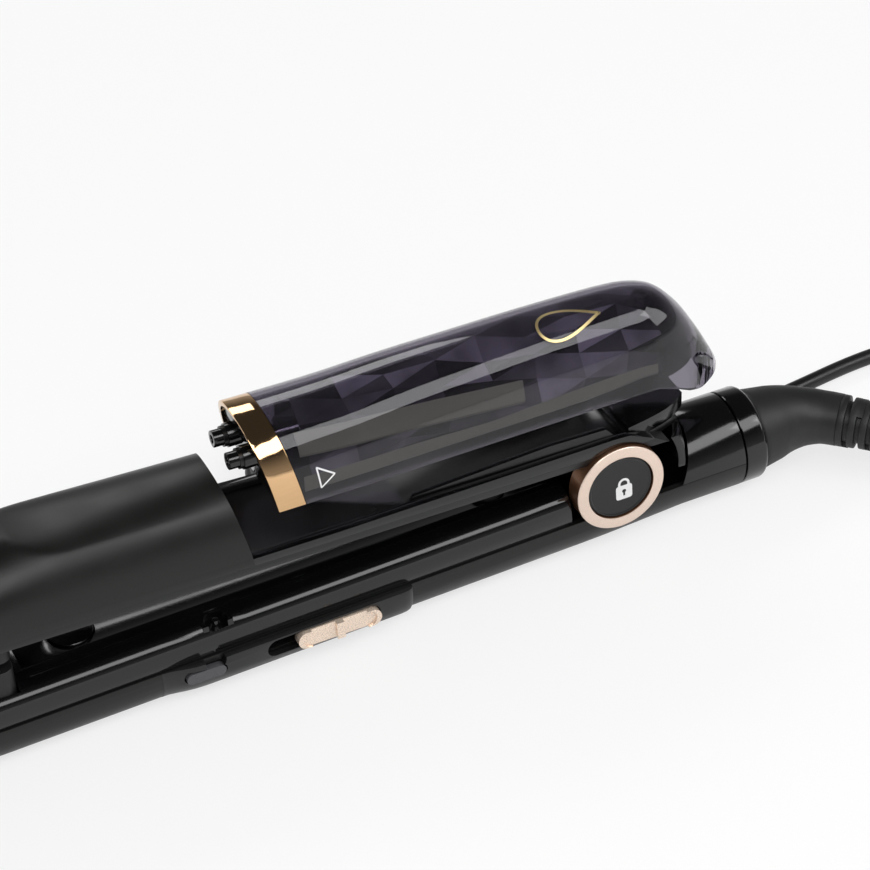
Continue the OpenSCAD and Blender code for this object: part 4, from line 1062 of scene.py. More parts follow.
@dataclass
class CordGuard:
    """Bent rubber guard with alternating slots."""

    face: float = 47.8
    straight: float = 7.5
    bend: float = 24.0
    turn: float = math.radians(44)
    run: float = 30.0
    drop: float = 3.0
    axis_z: float = 13.5
    width: float = 15.0
    pitch: float = 3.3
    rib: float = 2.05
    slot_depth: float = 1.45
    ribs: int = 8
    neck: Table = ((0, 11.6), (1, 11.75), (3, 11.4), (8, 10.6), (13, 9.4), (18, 8.3), (23, 7.6),
                   (27.4, 7.5))

    @property
    def length(self) -> float:
        """Length along the centre line."""
        return self.straight + self.bend * self.turn + self.run

    @property
    def rib_start(self) -> float:
        """Place of the first rib along the centre line."""
        return self.length - self.run + 2

    def point(self, s: float) -> Array:
        """Point of the centre line at the length s."""
        arc = self.bend * self.turn
        a = min(max((s - self.straight) / arc, 0), 1) * self.turn
        rest = max(s - self.straight - arc, 0)
        fall = self.drop * (max(s - self.straight, 0) / (self.length - self.straight)) ** 2
        return np.array([self.face + min(s, self.straight) + self.bend * math.sin(a)
                         + rest * math.cos(self.turn),
                         -self.bend * (1 - math.cos(a)) - rest * math.sin(self.turn),
                         self.axis_z - fall])

    def radius(self, s: float) -> float:
        """Outer radius at the length s."""
        if s < self.rib_start:
            return float(lookup(s, self.neck))
        return float(lookup(s, ((self.rib_start, self.width / 2),
                                (self.length - 3, self.width / 2 - 1.8),
                                (self.length, 3.55))))

    def tangent(self, s: float) -> Vector:
        """Direction of the centre line."""
        return Vector(self.point(s + 0.05) - self.point(s - 0.05)).normalized()

    def core(self) -> bpy.types.Mesh:
        """The smooth neck and the core under the ribs."""
        rows = [(s, self.radius(s)) for s in np.linspace(0, self.rib_start, 28)]
        rows[0] = (0, 11.2)
        rows.insert(1, (0.35, 11.55))
        end = self.rib_start + (self.ribs - 1) * self.pitch + self.rib
        rows += [(s, self.radius(s) - self.slot_depth)
                 for s in np.linspace(self.rib_start + 0.6, end - 0.4, 24)]
        tip = self.length
        rows += [(tip - 0.9, self.radius(tip - 0.9)), (tip - 0.3, 3.5), (tip, 3.1), (tip, 2.3)]
        path = np.array([self.point(s) for s, _ in rows])
        return tube("cord_guard_core", path, np.array([r for _, r in rows]), RUBBER, 64)

    def rib_piece(self) -> bpy.types.Mesh:
        """One rib of radius 1 with the bridge to the next one, along Z."""
        outer, inner, edge = self.width / 2, self.width / 2 - self.slot_depth - 0.5, 0.3
        profile = [(0, inner), (0, outer - edge), (0.09, outer - 0.09), (edge, outer),
                   (self.rib - edge, outer), (self.rib - 0.09, outer - 0.09), (self.rib, outer - edge),
                   (self.rib, inner)]
        bench = Bench(Solid.lathe("z", profile, steps=72))
        half = math.radians(38)
        t = np.linspace(-half, half, 15)
        outline = np.concatenate([np.stack([np.cos(t), np.sin(t)], 1) * (outer - 0.05),
                                  np.stack([np.cos(t[::-1]), np.sin(t[::-1])], 1) * inner])
        bench.join(Solid.prism(outline, self.rib - 0.3, self.pitch + 0.3, "z"))
        return bench.mesh("guard_rib")

    def build(self) -> bpy.types.Object:
        """Makes the guard, its ribs set along the bent centre line.

        Returns:
            The piece.
        """
        places = [self.rib_start + i * self.pitch for i in range(self.ribs)]
        turns, sizes = [], []
        for i, s in enumerate(places):
            along = self.tangent(s + self.rib / 2)
            side = Vector((0, 0, 1)).cross(along).normalized()
            over = along.cross(side)
            first = over if i % 2 else -over
            basis = Matrix((first, along.cross(first), along)).transposed()
            turns.append(tuple(basis.to_euler()))
            size = self.radius(s + self.rib / 2) / (self.width / 2)
            sizes.append((size, size, 1))
        points = np.array([self.point(s) for s in places])
        ribs = repeated("cord_guard_ribs", self.rib_piece(), points, np.array(turns), np.array(sizes),
                        RUBBER)
        place("cord_guard_ribs", ribs, Body.SWIVEL, RUBBER, slot="guard_rubber")
        return place("cord_guard_body", self.core(), Body.SWIVEL, RUBBER, ("cord_guard",))


@dataclass
class MainsLead:
    """The cord with its wound part, tie and plug."""

    guard: CordGuard
    diameter: float = 4.5
    route: Sequence[tuple[float, float, float]] = ((101, -35, 9), (110, -42, 6.5), (121, -47, 4.2),
                                                   (133, -47.5, 2.8), (144, -42, 2.3), (151, -32, 2.3),
                                                   (154, -20, 2.3), (153, -7, 2.3), (147, 6, 2.3),
                                                   (137, 17, 2.3), (124, 23.5, 2.3), (110, 26.3, 2.3),
                                                   (96, 26, 2.3), (78, 23.6, 2.3), (61, 21.6, 2.3),
                                                   (46, 21.8, 2.5), (34, 23.6, 2.9))
    split: int = 6
    hank: tuple[float, float] = (-18, 54)
    hank_run: float = 68.0
    hank_radius: float = 13.5
    hank_step: float = 5.35
    loops: int = 3
    low: float = 3.2
    rise: float = 4.95
    waist: float = 7.0
    plug: tuple[float, float, float] = (-104, 38, 7.2)
    turns_until: tuple[float, float, float] = (0.1, -0.035, 0.009)
    lies_from: tuple[float, float, float] = (0.15, -0.035, 0.009)

    def wound(self, k: float) -> Array:
        """Point k of the wound part, 24 to a loop."""
        u = k / 24
        f = k - 24 * math.floor(u)
        x0, y0 = self.hank
        r = self.hank_radius + self.hank_step * abs(self.loops - u)
        z = self.low + self.rise * min(max((u - self.loops) * 6, 0), 1)
        w = self.waist * math.sin(math.radians(45 * (f % 4))) ** 2
        if f < 4:
            return np.array([x0 + self.hank_run * (0.5 - f / 4), y0 - r + w, z])
        if f < 12:
            a = math.radians(22.5 * (f - 4))
            return np.array([x0 - self.hank_run / 2 - r * math.sin(a), y0 - r * math.cos(a), z])
        if f < 16:
            return np.array([x0 + self.hank_run * (f / 4 - 3.5), y0 + r - w, z])
        a = math.radians(22.5 * (f - 16))
        return np.array([x0 + self.hank_run / 2 + r * math.sin(a), y0 + r * math.cos(a), z])

    def paths(self) -> tuple[Array, Array]:
        """The stretch from the guard's end, and the rest as far as the plug."""
        start = self.guard.point(self.guard.length)
        before = self.guard.point(self.guard.length - 1)
        aim = (start - before) / np.linalg.norm(start - before)
        out = self.hank_radius + self.hank_step * self.loops
        stub = np.array([self.diameter, 0, 0])
        begin = np.array([self.hank[0] + self.hank_run / 2, self.hank[1] - out, self.low])
        first = [start, start + aim * self.diameter, *np.array(self.route, float), begin + 2 * stub]
        curve = smooth_path(first, 4)
        turns = np.array([self.wound(k) for k in np.arange(0, 48 * self.loops + 4.01, 0.5)])
        end = turns[-1]
        x, y, z = self.plug
        tail = smooth_path([end - 2 * stub, end - [14, -0.1, 0.1], end - [23, -1.7, 0.5],
                            (-82, 30.4, z + 0.1),
                            (-90, 35.6, z), (x + 2 * self.diameter, y - 0.2, z)], 4)
        cut = 4 * (self.split + 1)
        rest = np.concatenate([curve[cut:], [begin + stub], turns, [end - stub], tail,
                               [(x + self.diameter, y, z), (x, y, z)]])
        return curve[:cut + 1], rest

    def build(self) -> None:
        lead, rest = self.paths()
        tie = stand_in("hank_strap", "hank_tie", 0.25, Body.LOWER, STRAP)
        plug = stand_in("mains_plug", "plug_body", 1.6, Body.LOWER, PLUG_BLACK, 4)
        dress(NICKEL, "plug_pins")
        start = linked("cord_lead", tube("cord_lead", lead, self.diameter / 2, SHEATH))
        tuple(self.turns_until)
        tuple(self.lies_from)
        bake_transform(start)
        cord = place("cord_rest", tube("cord_rest", rest, self.diameter / 2, SHEATH), Body.LOWER,
                     SHEATH, ("cord", "cord_hank", "cord_tail"))


# Shared forms of the two arms


@dataclass(frozen=True)
class ArmForm:
    """Outlines of the arms and the tank, as the solids have them."""

    length: float = 285.0
    hinge: float = 22.4
    seam: float = 13.6
    wall: float = 1.8
    nose_length: float = 20.0
    tilt: float = math.radians(2.3)
    lean: float = 0.225
    rail_top: float = 14.5
    depth: Table = ((-285, 8.5), (-281, 10.8), (-271, 12.9), (-255, 13.75), (-5, 13.75), (22, 13.6))
    power: Table = ((-180, 2.9), (-5, 2.4), (22, 2))

    def half(self, x: float) -> float:
        """Half width of an arm."""
        return 14.9 + 0.0225 * min(max(-x, 0), 180)

    def nose(self, x: float) -> float:
        """How much the round nose draws the width in."""
        u = min(max((-x - self.length + self.nose_length) / self.nose_length, 0), 1)
        return math.sqrt(1 - 0.75 * u * u)

    def lower_half(self, x: float) -> float:
        """Half width of the lower cover."""
        return self.half(x) * self.nose(x) - 0.9

    def stations(self, end: float, step: float = 8.0) -> list[float]:
        """Places along an arm from its nose to an end."""
        start = -(self.length - self.nose_length)
        nose = [start - self.nose_length * math.sin(math.radians(i)) for i in range(90, 0, -6)]
        count = max(2, round((end - start) / step))
        return nose + list(np.linspace(start, end, count + 1))

    def plan(self, x: Sequence[float], inset: float, z: Sequence[float]) -> Solid:
        """Prism of an arm's plan between two places, drawn in by inset."""
        start = -(self.length - self.nose_length)
        if x[0] < start:
            xs = [start + (x[0] - start) * math.sin(math.radians(i)) for i in range(90, -1, -6)]
        else:
            xs = [x[0]]
        xs += [v for v in (-180, 0) if xs[-1] < v < x[1]] + [x[1]]
        side = [(v, self.half(v) * self.nose(v) - inset) for v in xs]
        return Solid.prism(np.array(side + [(v, -w) for v, w in side[::-1]]), z[0], z[1])

    def lower_ring(self, x: float, inset: float) -> Array:
        """Lower cover's outline at x, drawn in by inset."""
        a = self.lower_half(x) if x < 0 else float(lookup(x, ((0, self.lower_half(0)), (22, 13.5))))
        b = float(lookup(x, self.depth))
        q = arch(a - inset, b - inset, float(lookup(x, self.power)))
        return level_ring("x", x, q[:, 0], self.seam - q[:, 1])

    def upper_place(self, back: float = 0.0, lift: float = 0.0) -> Matrix:
        """Where the tilted upper frame lies, in metres, moved along itself first."""
        return (Matrix.Translation((0, 0, self.hinge * MM)) @ Matrix.Rotation(self.tilt, 4, "Y")
                @ Matrix.Translation((back * MM, 0, lift * MM)))


FORM = ArmForm()
KNOB = (0.0, 22.4)
KNOB_ROOM = 13.5
SOLE_SCREWS = (-262.0, -164.0, -24.0)


def hood(x: float, a: float, low: float, spring: float, high: float, power: float, lean: float = 0.0,
         steps: int = 64) -> Array:
    """Outline of a hood at x: an arch on two upright sides, leaning by lean over the rail."""
    q = arch(a, high, power, steps) + [0, spring]
    q = np.concatenate([[[-a, low]], q, [[a, low]]])
    return np.column_stack([x - (q[:, 1] - FORM.rail_top) * lean, q])


def sphere(radius: float, z: float) -> Solid:
    """Ball on the hinge axis at a height."""
    t = np.linspace(0, math.pi, 49)
    return Solid.lathe("z", list(zip(z - radius * np.cos(t), np.maximum(radius * np.sin(t), 0))))


# Lower arm


@dataclass
class LowerArm:
    """Lower half: cover, rims, side panel, lamp, buttons and rear tube."""

    panel: tuple[float, float] = (-135.0, -63.0)
    panel_out: float = 2.2
    panel_start: Table = ((0, 0.03), (2, 0.22), (4, 0.7), (6.5, 1.4), (9, 1.9), (11, 2.12), (13, 2.2))
    panel_end: Table = ((1.6, 2.05), (0.6, 1.6), (0, 0.9))
    slider: tuple[float, float] = (-85.6, 10.2)
    slider_size: tuple[float, float] = (24.0, 5.2)
    travel: float = 8.0
    lamp: tuple[float, float] = (-123.5, 9.9)
    lamp_size: tuple[float, float] = (11.2, 3.3)
    lamp_gap: float = 0.7
    knuckles: tuple[float, float] = (7.6, 10.6)
    tube_end: float = 40.2
    tube_radius: float = 13.5
    rim_top: float = 23.4
    inner_end: float = -14.0
    button: tuple[float, float] = (-153.0, 6.2)
    pad: tuple[float, float] = (-33.0, 4.6)
    notch: tuple[float, float, float] = (-117.5, -13.4, 3.2)

    def knob_space(self) -> list[Solid]:
        """Room for the knob and for the cap on the other side."""
        return [Solid.rod("y", low, high, KNOB_ROOM, KNOB) for low, high in ((-22, -11.2), (11.2, 22))]

    def cover(self) -> bpy.types.Mesh:
        """Outer half shell with the lower half of the rear tube."""
        xs = FORM.stations(-2) + list(np.linspace(0, 22, 8)) + [30, self.tube_end]
        bench = Bench(Solid.shell([FORM.lower_ring(x, 0) for x in xs],
                                  [FORM.lower_ring(x, FORM.wall) for x in xs]))
        bench.join(Solid.loft([FORM.lower_ring(x, 0) for x in xs[:6]]))
        x, z = self.slider
        long = self.slider_size[0] / 2
        bench.cut(*self.knob_space(),
                  Solid.block((x - long - self.travel - 1, x + long + 1), (-20, -10),
                              (z - 1.6, z + 1.6)),
                  Solid.block((self.lamp[0] - 3, self.lamp[0] + 3), (-20, -10), (z - 1.4, z + 0.8)))
        for low, high in (self.knuckles, [-v for v in self.knuckles[::-1]]):
            bench.join(Solid.rod("y", low, high, 7.5, KNOB),
                       Solid.block((-7.5, 7.5), (low, high), (4, KNOB[1])))
        bench.cut(Solid.rod("y", -20, 20, 2.55, KNOB), Solid.block((-290, 45), (-20, 20), (-2, 0)))
        for x in SOLE_SCREWS:
            bench.cut(Solid.rod("z", -1, 1.2, 2.7, (x, 0)), Solid.rod("z", 0.5, 8, 1.3, (x, 0)))
        return bench.soften(0.28, 3).mesh("lower_cover_shell")

    def rim_ring(self, x: float, inset: float) -> Array:
        """Outline of the rim shell at x."""
        a = FORM.lower_half(x) - 0.5 - inset
        h = 9.5 * float(lookup(x, ((-285, 0.55), (-277, 0.85), (-265, 1)))) - inset
        q = arch(a, h, 4.2, 64)
        return level_ring("x", x, q[:, 0], FORM.seam + 0.3 + q[:, 1])

    def rims(self) -> bpy.types.Mesh:
        """Inner shell with the rims beside the panel."""
        xs = FORM.stations(self.inner_end, 12)
        bench = Bench(Solid.shell([self.rim_ring(x, 0) for x in xs],
                                  [self.rim_ring(x, FORM.wall) for x in xs]))
        bench.join(Solid.loft([self.rim_ring(x, 0) for x in xs[:5]]),
                   Solid.loft([self.rim_ring(x, 0)
                               for x in (self.inner_end - FORM.wall, self.inner_end)]))
        nx, ny, nr = self.notch
        bench.join(Solid.block((nx - nr - 1, nx + nr + 1), (-FORM.lower_half(nx) + 1.5, ny + nr + 1),
                               (self.rim_top - 4, self.rim_top - 1)))
        top = self.rim_top
        groove = Bench(FORM.plan((-168, self.inner_end - 1.5), 6.9, (top - 0.7, top + 2)))
        groove.cut(FORM.plan((-169, self.inner_end - 1), 7.8, (top - 1, top + 3)))
        bench.cut(groove.taken(), FORM.plan((-169, -19), 10.4, (top - 1.2, top + 1)),
                  Solid.block((-276, -171.8), (-14.9, 14.9), (FORM.seam - 3, 40)),
                  Solid.rod("z", 10, 30, self.button[1] + 0.6, (self.button[0], 0)),
                  Solid.rod("z", 10, 30, self.pad[1] + 0.6, (self.pad[0], 0)),
                  Solid.rod("z", top - 1.2, top + 2, nr, (nx, ny)),
                  Solid.rod("z", top - 3, top - 1, nr, (nx, ny)))
        bench.join(Solid.rod("z", top - 3.5, top - 1.4, 0.9, (nx, ny + 0.6)))
        return bench.soften(0.22, 2).mesh("lower_rims")

    def side_panel(self) -> bpy.types.Mesh:
        """Raised panel that carries the switch and the lamp."""
        x0, x1 = self.panel
        rows = [(x0 + step, out) for step, out in self.panel_start]
        rows += [(x, self.panel_out) for x in np.linspace(x0 + 20, x1 - 3, 8)]
        rows += [(x1 - step, out) for step, out in self.panel_end]
        rings = []
        for x, out in rows:
            skin, bed = (arch(FORM.lower_half(x) + k, 13.75 + m, float(lookup(x, FORM.power)), 72)[:19]
                         for k, m in ((out, 0), (0.06, 0.06)))
            ring = np.concatenate([skin[::-1], bed])
            rings.append(level_ring("x", x, ring[:, 0], FORM.seam - ring[:, 1]))
        bench = Bench(Solid.loft(rings))
        outline = np.array([(x0 - 1, -2), (x1 - 12, -2), (x1 - 12, 2.9), (x1, 2.9), (x1, 14.2),
                            (x0 - 1, 14.2)])
        bench.keep(Solid.prism(fillet(outline, 4.2, [3], 8), -30, 0, "y"))
        x, z = self.slider
        long, wide = self.slider_size
        slot = capsule(long + self.travel + 0.8, wide + 0.5) + [x - self.travel / 2, z]
        lens = capsule(*(v + self.lamp_gap for v in self.lamp_size)) + list(self.lamp)
        bench.cut(Solid.prism(slot, -24, -8, "y"), Solid.prism(lens, -24, -8, "y"),
                  Solid.rod("y", -24, -12, 2.9, (self.lamp[0] + 3, FORM.seam - 0.4)))
        return bench.soften(0.22, 3).mesh("switch_side_panel")

    def switch(self) -> bpy.types.Mesh:
        """Sliding steam switch with its dish and rib."""
        x, z = self.slider
        long, wide = self.slider_size
        face = -(FORM.lower_half(x) + self.panel_out)
        bench = Bench(Solid.prism(capsule(long, wide) + [x, z], face - 1.3, face + 1.5, "y"))
        bench.cut(Solid.prism(capsule(long - 2.8, wide) + [x, z], face - 3, face - 0.5, "y"))
        bench.join(Solid.block((x - 1.1, x + 1.1), (face - 1.8, face - 0.5),
                               (z - wide / 2, z + wide / 2)))
        bench.join(Solid.block((x - 1.5, x + 1.5), (face + 1.4, -11.4), (z - 1.3, z + 1.3)))
        return bench.soften(0.16, 3).mesh("steam_slider")

    def tube_top(self) -> bpy.types.Mesh:
        """Upper half of the rear tube with the mouth that the head turns in."""
        r = self.tube_radius
        bench = Bench(Solid.rod("x", 14, self.tube_end, r, (0, r), 160))
        bench.cut(Solid.rod("x", 10, 42, r - 2, (0, r), 128),
                  Solid.block((0, 60), (-20, 20), (-1, FORM.seam + 0.15)),
                  sphere(25.9, FORM.hinge))
        return bench.soften(0.25, 3).mesh("rear_tube_cover")

    def collar(self) -> bpy.types.Mesh:
        """Gloss swivel behind the tube, with its neck inside."""
        x0, r = self.tube_end + 0.6, self.tube_radius - 0.05
        profile = [(x0 - 8.6, 9.6), (x0 - 8.6, 11.2), (x0 - 6.1, 11.2), (x0 - 6.1, 9.6), (x0, 9.6),
                   (x0, r - 0.3), (x0 + 0.1, r - 0.09), (x0 + 0.3, r), (x0 + 5.6, r),
                   (x0 + 6.1, r - 0.12), (x0 + 6.55, r - 0.42), (x0 + 6.9, r - 0.85), (x0 + 7, r - 1.2),
                   (x0 + 7, 4), (x0 - 8.6, 4)]
        return Bench(Solid.lathe("x", profile, (0, self.tube_radius), 160)).mesh("swivel_ring", 24)

    def build(self) -> None:
        """Makes and dresses every piece of the lower arm."""
        place("lower_cover_shell", self.cover(), Body.LOWER, SATIN_COVER, ("lower_cover",))
        place("lower_rims", self.rims(), Body.LOWER, GLOSS_BLACK, ("lower_inner_shell",))
        stand_in("inner_gloss_panel", "inner_panel", 0.2, Body.LOWER, GLOSS_BLACK)
        place("switch_side_panel", self.side_panel(), Body.LOWER, PANEL_BLACK, ("switch_panel",))
        place("steam_slider", self.switch(), Body.SWITCH, SWITCH_GOLD, ("slide_switch",))
        stand_in("lamp_lens", "lamp_window", 0.3, Body.LOWER, LAMP_LENS, 3)
        stand_in("power_key", "power_button", 0.35, Body.POWER, GLOSS_BLACK, 3)
        stand_in("rubber_stop", "stop_pad", 0.35, Body.LOWER, RUBBER, 3)
        place("rear_tube_cover", self.tube_top(), Body.LOWER, GLOSS_BLACK, ("rear_tube_top",))
        place("swivel_ring", self.collar(), Body.SWIVEL, GLOSS_BLACK, ("swivel_collar",))
        stand_in("lower_plate_tray", "lower_carrier", 0.3, Body.LOWER, CARRIER, 3)
        stand_in("lower_hot_plate", "lower_plate", 0.3, Body.PLATE, CERAMIC, 3)


@dataclass
class LockKnob:
    """Lock knob on the hinge: gold ring, black cap and white padlock; cap on the far side."""

    face: float = -16.3
    back: float = -10.7
    radius: float = 13.15
    cap_radius: float = 9.6
    cap_face: float = -15.8
    cap_back: float = -13.5
    sign: tuple[float, float] = (1.1, -2.1)
    body: tuple[float, float] = (4.9, 4.6)
    ink: float = 0.06

    def ring(self) -> bpy.types.Mesh:
        """Flat ring with softly broken edges."""
        f, r, inner = self.face, self.radius, self.cap_radius + 0.2
        profile = [(self.back, r), (f + 0.6, r), (f + 0.3, r - 0.06), (f + 0.1, r - 0.22), (f, r - 0.5),
                   (f, inner + 0.3), (f + 0.09, inner + 0.09), (f + 0.3, inner),
                   (self.back - 0.8, inner), (self.back - 0.8, 6.4), (self.back, 6.4)]
        return Bench(Solid.lathe("y", profile, KNOB, 192)).mesh("lock_knob_ring", 20)

    def cap(self) -> bpy.types.Mesh:
        """Cap with a raised lip and a shallow dish, and its bolt."""
        f, r = self.cap_face, self.cap_radius
        profile = [(self.cap_back, 0), (self.cap_back, r), (f + 0.3, r), (f + 0.09, r - 0.09),
                   (f, r - 0.3), (f + 0.02, r - 0.6), (f + 0.16, r - 0.85), (f + 0.18, r - 1.2),
                   (f + 0.18, 0)]
        bench = Bench(Solid.lathe("y", profile, KNOB, 160))
        bench.join(Solid.rod("y", self.cap_back - 0.2, self.back - 0.5, 2.2, KNOB))
        return bench.mesh("lock_cap_face", 20)

    def padlock(self) -> bpy.types.Mesh:
        """Printed padlock, upright, a little right of the middle."""
        wide, high = self.body
        x, z = KNOB[0] + self.sign[0], KNOB[1] + self.sign[1]
        front, back = self.cap_face + 0.18 - self.ink, self.cap_face + 0.3
        corners = np.array([(-wide / 2, -high / 2), (wide / 2, -high / 2), (wide / 2, high / 2),
                            (-wide / 2, high / 2)])
        bench = Bench(Solid.prism(fillet(corners, 0.9, range(4), 6) + [x, z], front, back, "y"))
        t = np.linspace(0, math.pi, 25)
        arc = np.stack([np.cos(t), np.sin(t)], 1)
        foot = high / 2 - 0.3
        outer = np.concatenate([[(1.75, 0)], arc * 1.75 + [0, 0.85], [(-1.75, 0)]])
        inner = arc[::-1] * 1.05 + [0, 0.85]
        shackle = np.concatenate([outer, [(-1.05, 0)], inner, [(1.05, 0)]])
        bench.join(Solid.prism(shackle + [x, z + foot], front, back, "y"))
        bench.cut(Solid.rod("y", front - 1, back + 1, 0.62, (x, z + 0.35), 32),
                  Solid.block((x - 0.3, x + 0.3), (front - 1, back + 1), (z - 1.2, z + 0.3)))
        return bench.mesh("padlock_sign")

    def far_cap(self) -> bpy.types.Mesh:
        """Plain gloss cap on the other side of the hinge."""
        near, far, r = -self.back, -self.face - 0.6, self.radius
        profile = [(near, 0), (near, r), (far - 0.6, r), (far - 0.25, r - 0.12), (far - 0.05, r - 0.5),
                   (far, r - 1), (far, r - 2.6), (far - 0.35, r - 3), (far - 0.35, 0)]
        return Bench(Solid.lathe("y", profile, KNOB, 160)).mesh("far_hinge_cap", 20)

    def build(self) -> None:
        """Makes and dresses the knob."""
        ring = place("lock_knob_ring", self.ring(), Body.LOWER, RING_GOLD, ("lock_ring",))
        # The ring's rim takes the darker copy: painted shade.
        second_finish(ring, RING_SHADED_SIDE, lambda face: abs(face.normal.y) < 0.6)
        place("lock_cap_face", self.cap(), Body.LOCK, SATIN_BLACK, ("lock_cap",))
        place("padlock_sign", self.padlock(), Body.LOCK, WHITE_PRINT, slot="satin_black")
        place("far_hinge_cap", self.far_cap(), Body.LOWER, GLOSS_BLACK, ("hinge_cap",))


# Upper arm and water tank, drawn in the tilted frame


@dataclass
class UpperArm:
    """Upper half: cover with its rails and head, trim and tank bay."""

    low: float = 12.1
    spring: float = 15.0
    front: float = -107.1
    head_top: float = 16.0
    bay_rear: float = 3.9
    power: float = 2.15
    thumb: tuple[float, float, float] = (-169.5, -153.0, -107.0)
    thumb_half: float = 12.6
    thumb_sink: float = 2.9
    thumb_fade: float = 0.72
    thumb_edge: float = 0.003
    height: Table = ((-285, 3.4), (-283, 5.4), (-277, 7.6), (-265, 9), (-235, 10.2), (-212, 12.2),
                     (-196, 14.4), (-183, 16.8), (-170, 18.9), (-157, 20), (-100, 20))
    cap_rows: tuple[float, ...] = (4, 7, 9.5, 11.3, 13, 14.8, 16.5, 18, 19.5, 20.8, 22, 23, 23.8, 24.4,
                                   24.7)
    posts: tuple[float, ...] = (-254, -198)
    post_radius: float = 3.2
    satin_end: float = -103.6

    def thumb_depth(self, x: float, y: Array) -> Array:
        """Depth of the thumb hollow in the top of the cover."""
        start, deepest, end = self.thumb
        before = max(0.0, (deepest - x) / (deepest - start))
        after = min(1.0, max(0.0, (x - deepest) / (end - deepest)))
        inside = 1 - (y / self.thumb_half) ** 2 - before ** 2
        rounded = 0.5 * (inside + np.sqrt(inside * inside + self.thumb_edge))
        return self.thumb_sink * (1 - self.thumb_fade * after) * np.where(inside > -0.6, rounded, 0)

    def ring(self, x: float, inset: float, lean: float = 0.0) -> Array:
        """Outline of the cover at x, with the hollow for the thumb."""
        a = FORM.half(x) * FORM.nose(x) - inset
        ring = hood(x, a, self.low, self.spring, self.smooth_height(x) - inset, self.power, lean, 96)
        ring[1:-1, 2] -= self.thumb_depth(x, ring[1:-1, 1])
        return ring

    def smooth_height(self, x: float) -> float:
        """Height of the cover at x, rounded between the table's rows."""
        xs = np.linspace(x - 7, x + 7, 15) if x > -255 else np.array([x])
        return float(np.mean(lookup(xs, self.height)))

    def above_seat(self) -> Solid:
        """Space over the line where the tank sits."""
        outline = np.array([(x, z - 0.4) for x, z in TANK.low] + [(30, 60), (-113, 60)])
        return Solid.prism(outline, -40, 40, "y")

    def cap_outline(self, inset: float = 0.0) -> Array:
        """Plan outline of the head's cap."""
        side = [(x, TANK.half(x) - 1.9 - inset) for x in self.cap_rows]
        return np.array(side + [(x, -w) for x, w in side[::-1]])

    def cover(self) -> bpy.types.Mesh:
        """Outer cover with its rails, shoulders and cap."""
        xs = sorted([x for x in FORM.stations(-118, 5) if not -180 < x < -140]
                    + list(np.arange(-180, -139, 2.0)))
        outer = [self.ring(x, 0) for x in xs] + [self.ring(self.front, 0, FORM.lean)]
        inner = [self.ring(x, FORM.wall) for x in xs] + [self.ring(self.front, FORM.wall, FORM.lean)]
        bench = Bench(Solid.shell(outer, inner))
        bench.join(Solid.loft([self.ring(x, 0) for x in xs[:5]]))
        rails = Bench(FORM.plan((self.front - 1, 20), 0, (self.low, self.head_top + 1)))
        rails.cut(FORM.plan((self.front - 2, self.bay_rear), 2, (self.low - 1, self.head_top + 2)),
                  self.above_seat())
        hollow = Bench(FORM.plan((self.bay_rear - 1, 17), 2, (self.low + 2, self.head_top + 2)))
        hollow.cut(Solid.prism(self.cap_outline(), self.low, self.head_top + 3))
        rails.cut(hollow.taken())
        bench.join(rails.taken(), Solid.prism(self.cap_outline(), self.low, self.head_top + 0.4))
        for x in self.posts:
            bench.join(Solid.rod("z", self.spring, self.spring + self.smooth_height(x) - 0.8,
                                 self.post_radius, (x, 0)))
        bench.cut(Solid.rod("y", -22, -10.6, KNOB_ROOM), Solid.rod("y", 10.6, 22, KNOB_ROOM))
        mesh = bench.soften(0.3, 3).mesh("upper_cover_shell")
        mesh.transform(FORM.upper_place())
        return mesh

    def build(self) -> None:
        """Makes and dresses the upper arm."""
        cover = place("upper_cover_shell", self.cover(), Body.UPPER, SATIN_COVER, ("upper_cover",))
        second_finish(cover, GLOSS_BLACK, lambda face: face.center.x > self.satin_end * MM)
        stand_in("upper_trim_frame", "upper_trim", 0.25, Body.UPPER, SATIN_BLACK)
        stand_in("tank_bay_floor", "tank_bay", 0.2, Body.UPPER, BAY_BLACK)
        stand_in("hinge_head", "hinge_barrel", 0.2, Body.UPPER, GLOSS_BLACK)
        stand_in("upper_plate_tray", "upper_carrier", 0.3, Body.UPPER, CARRIER, 3)


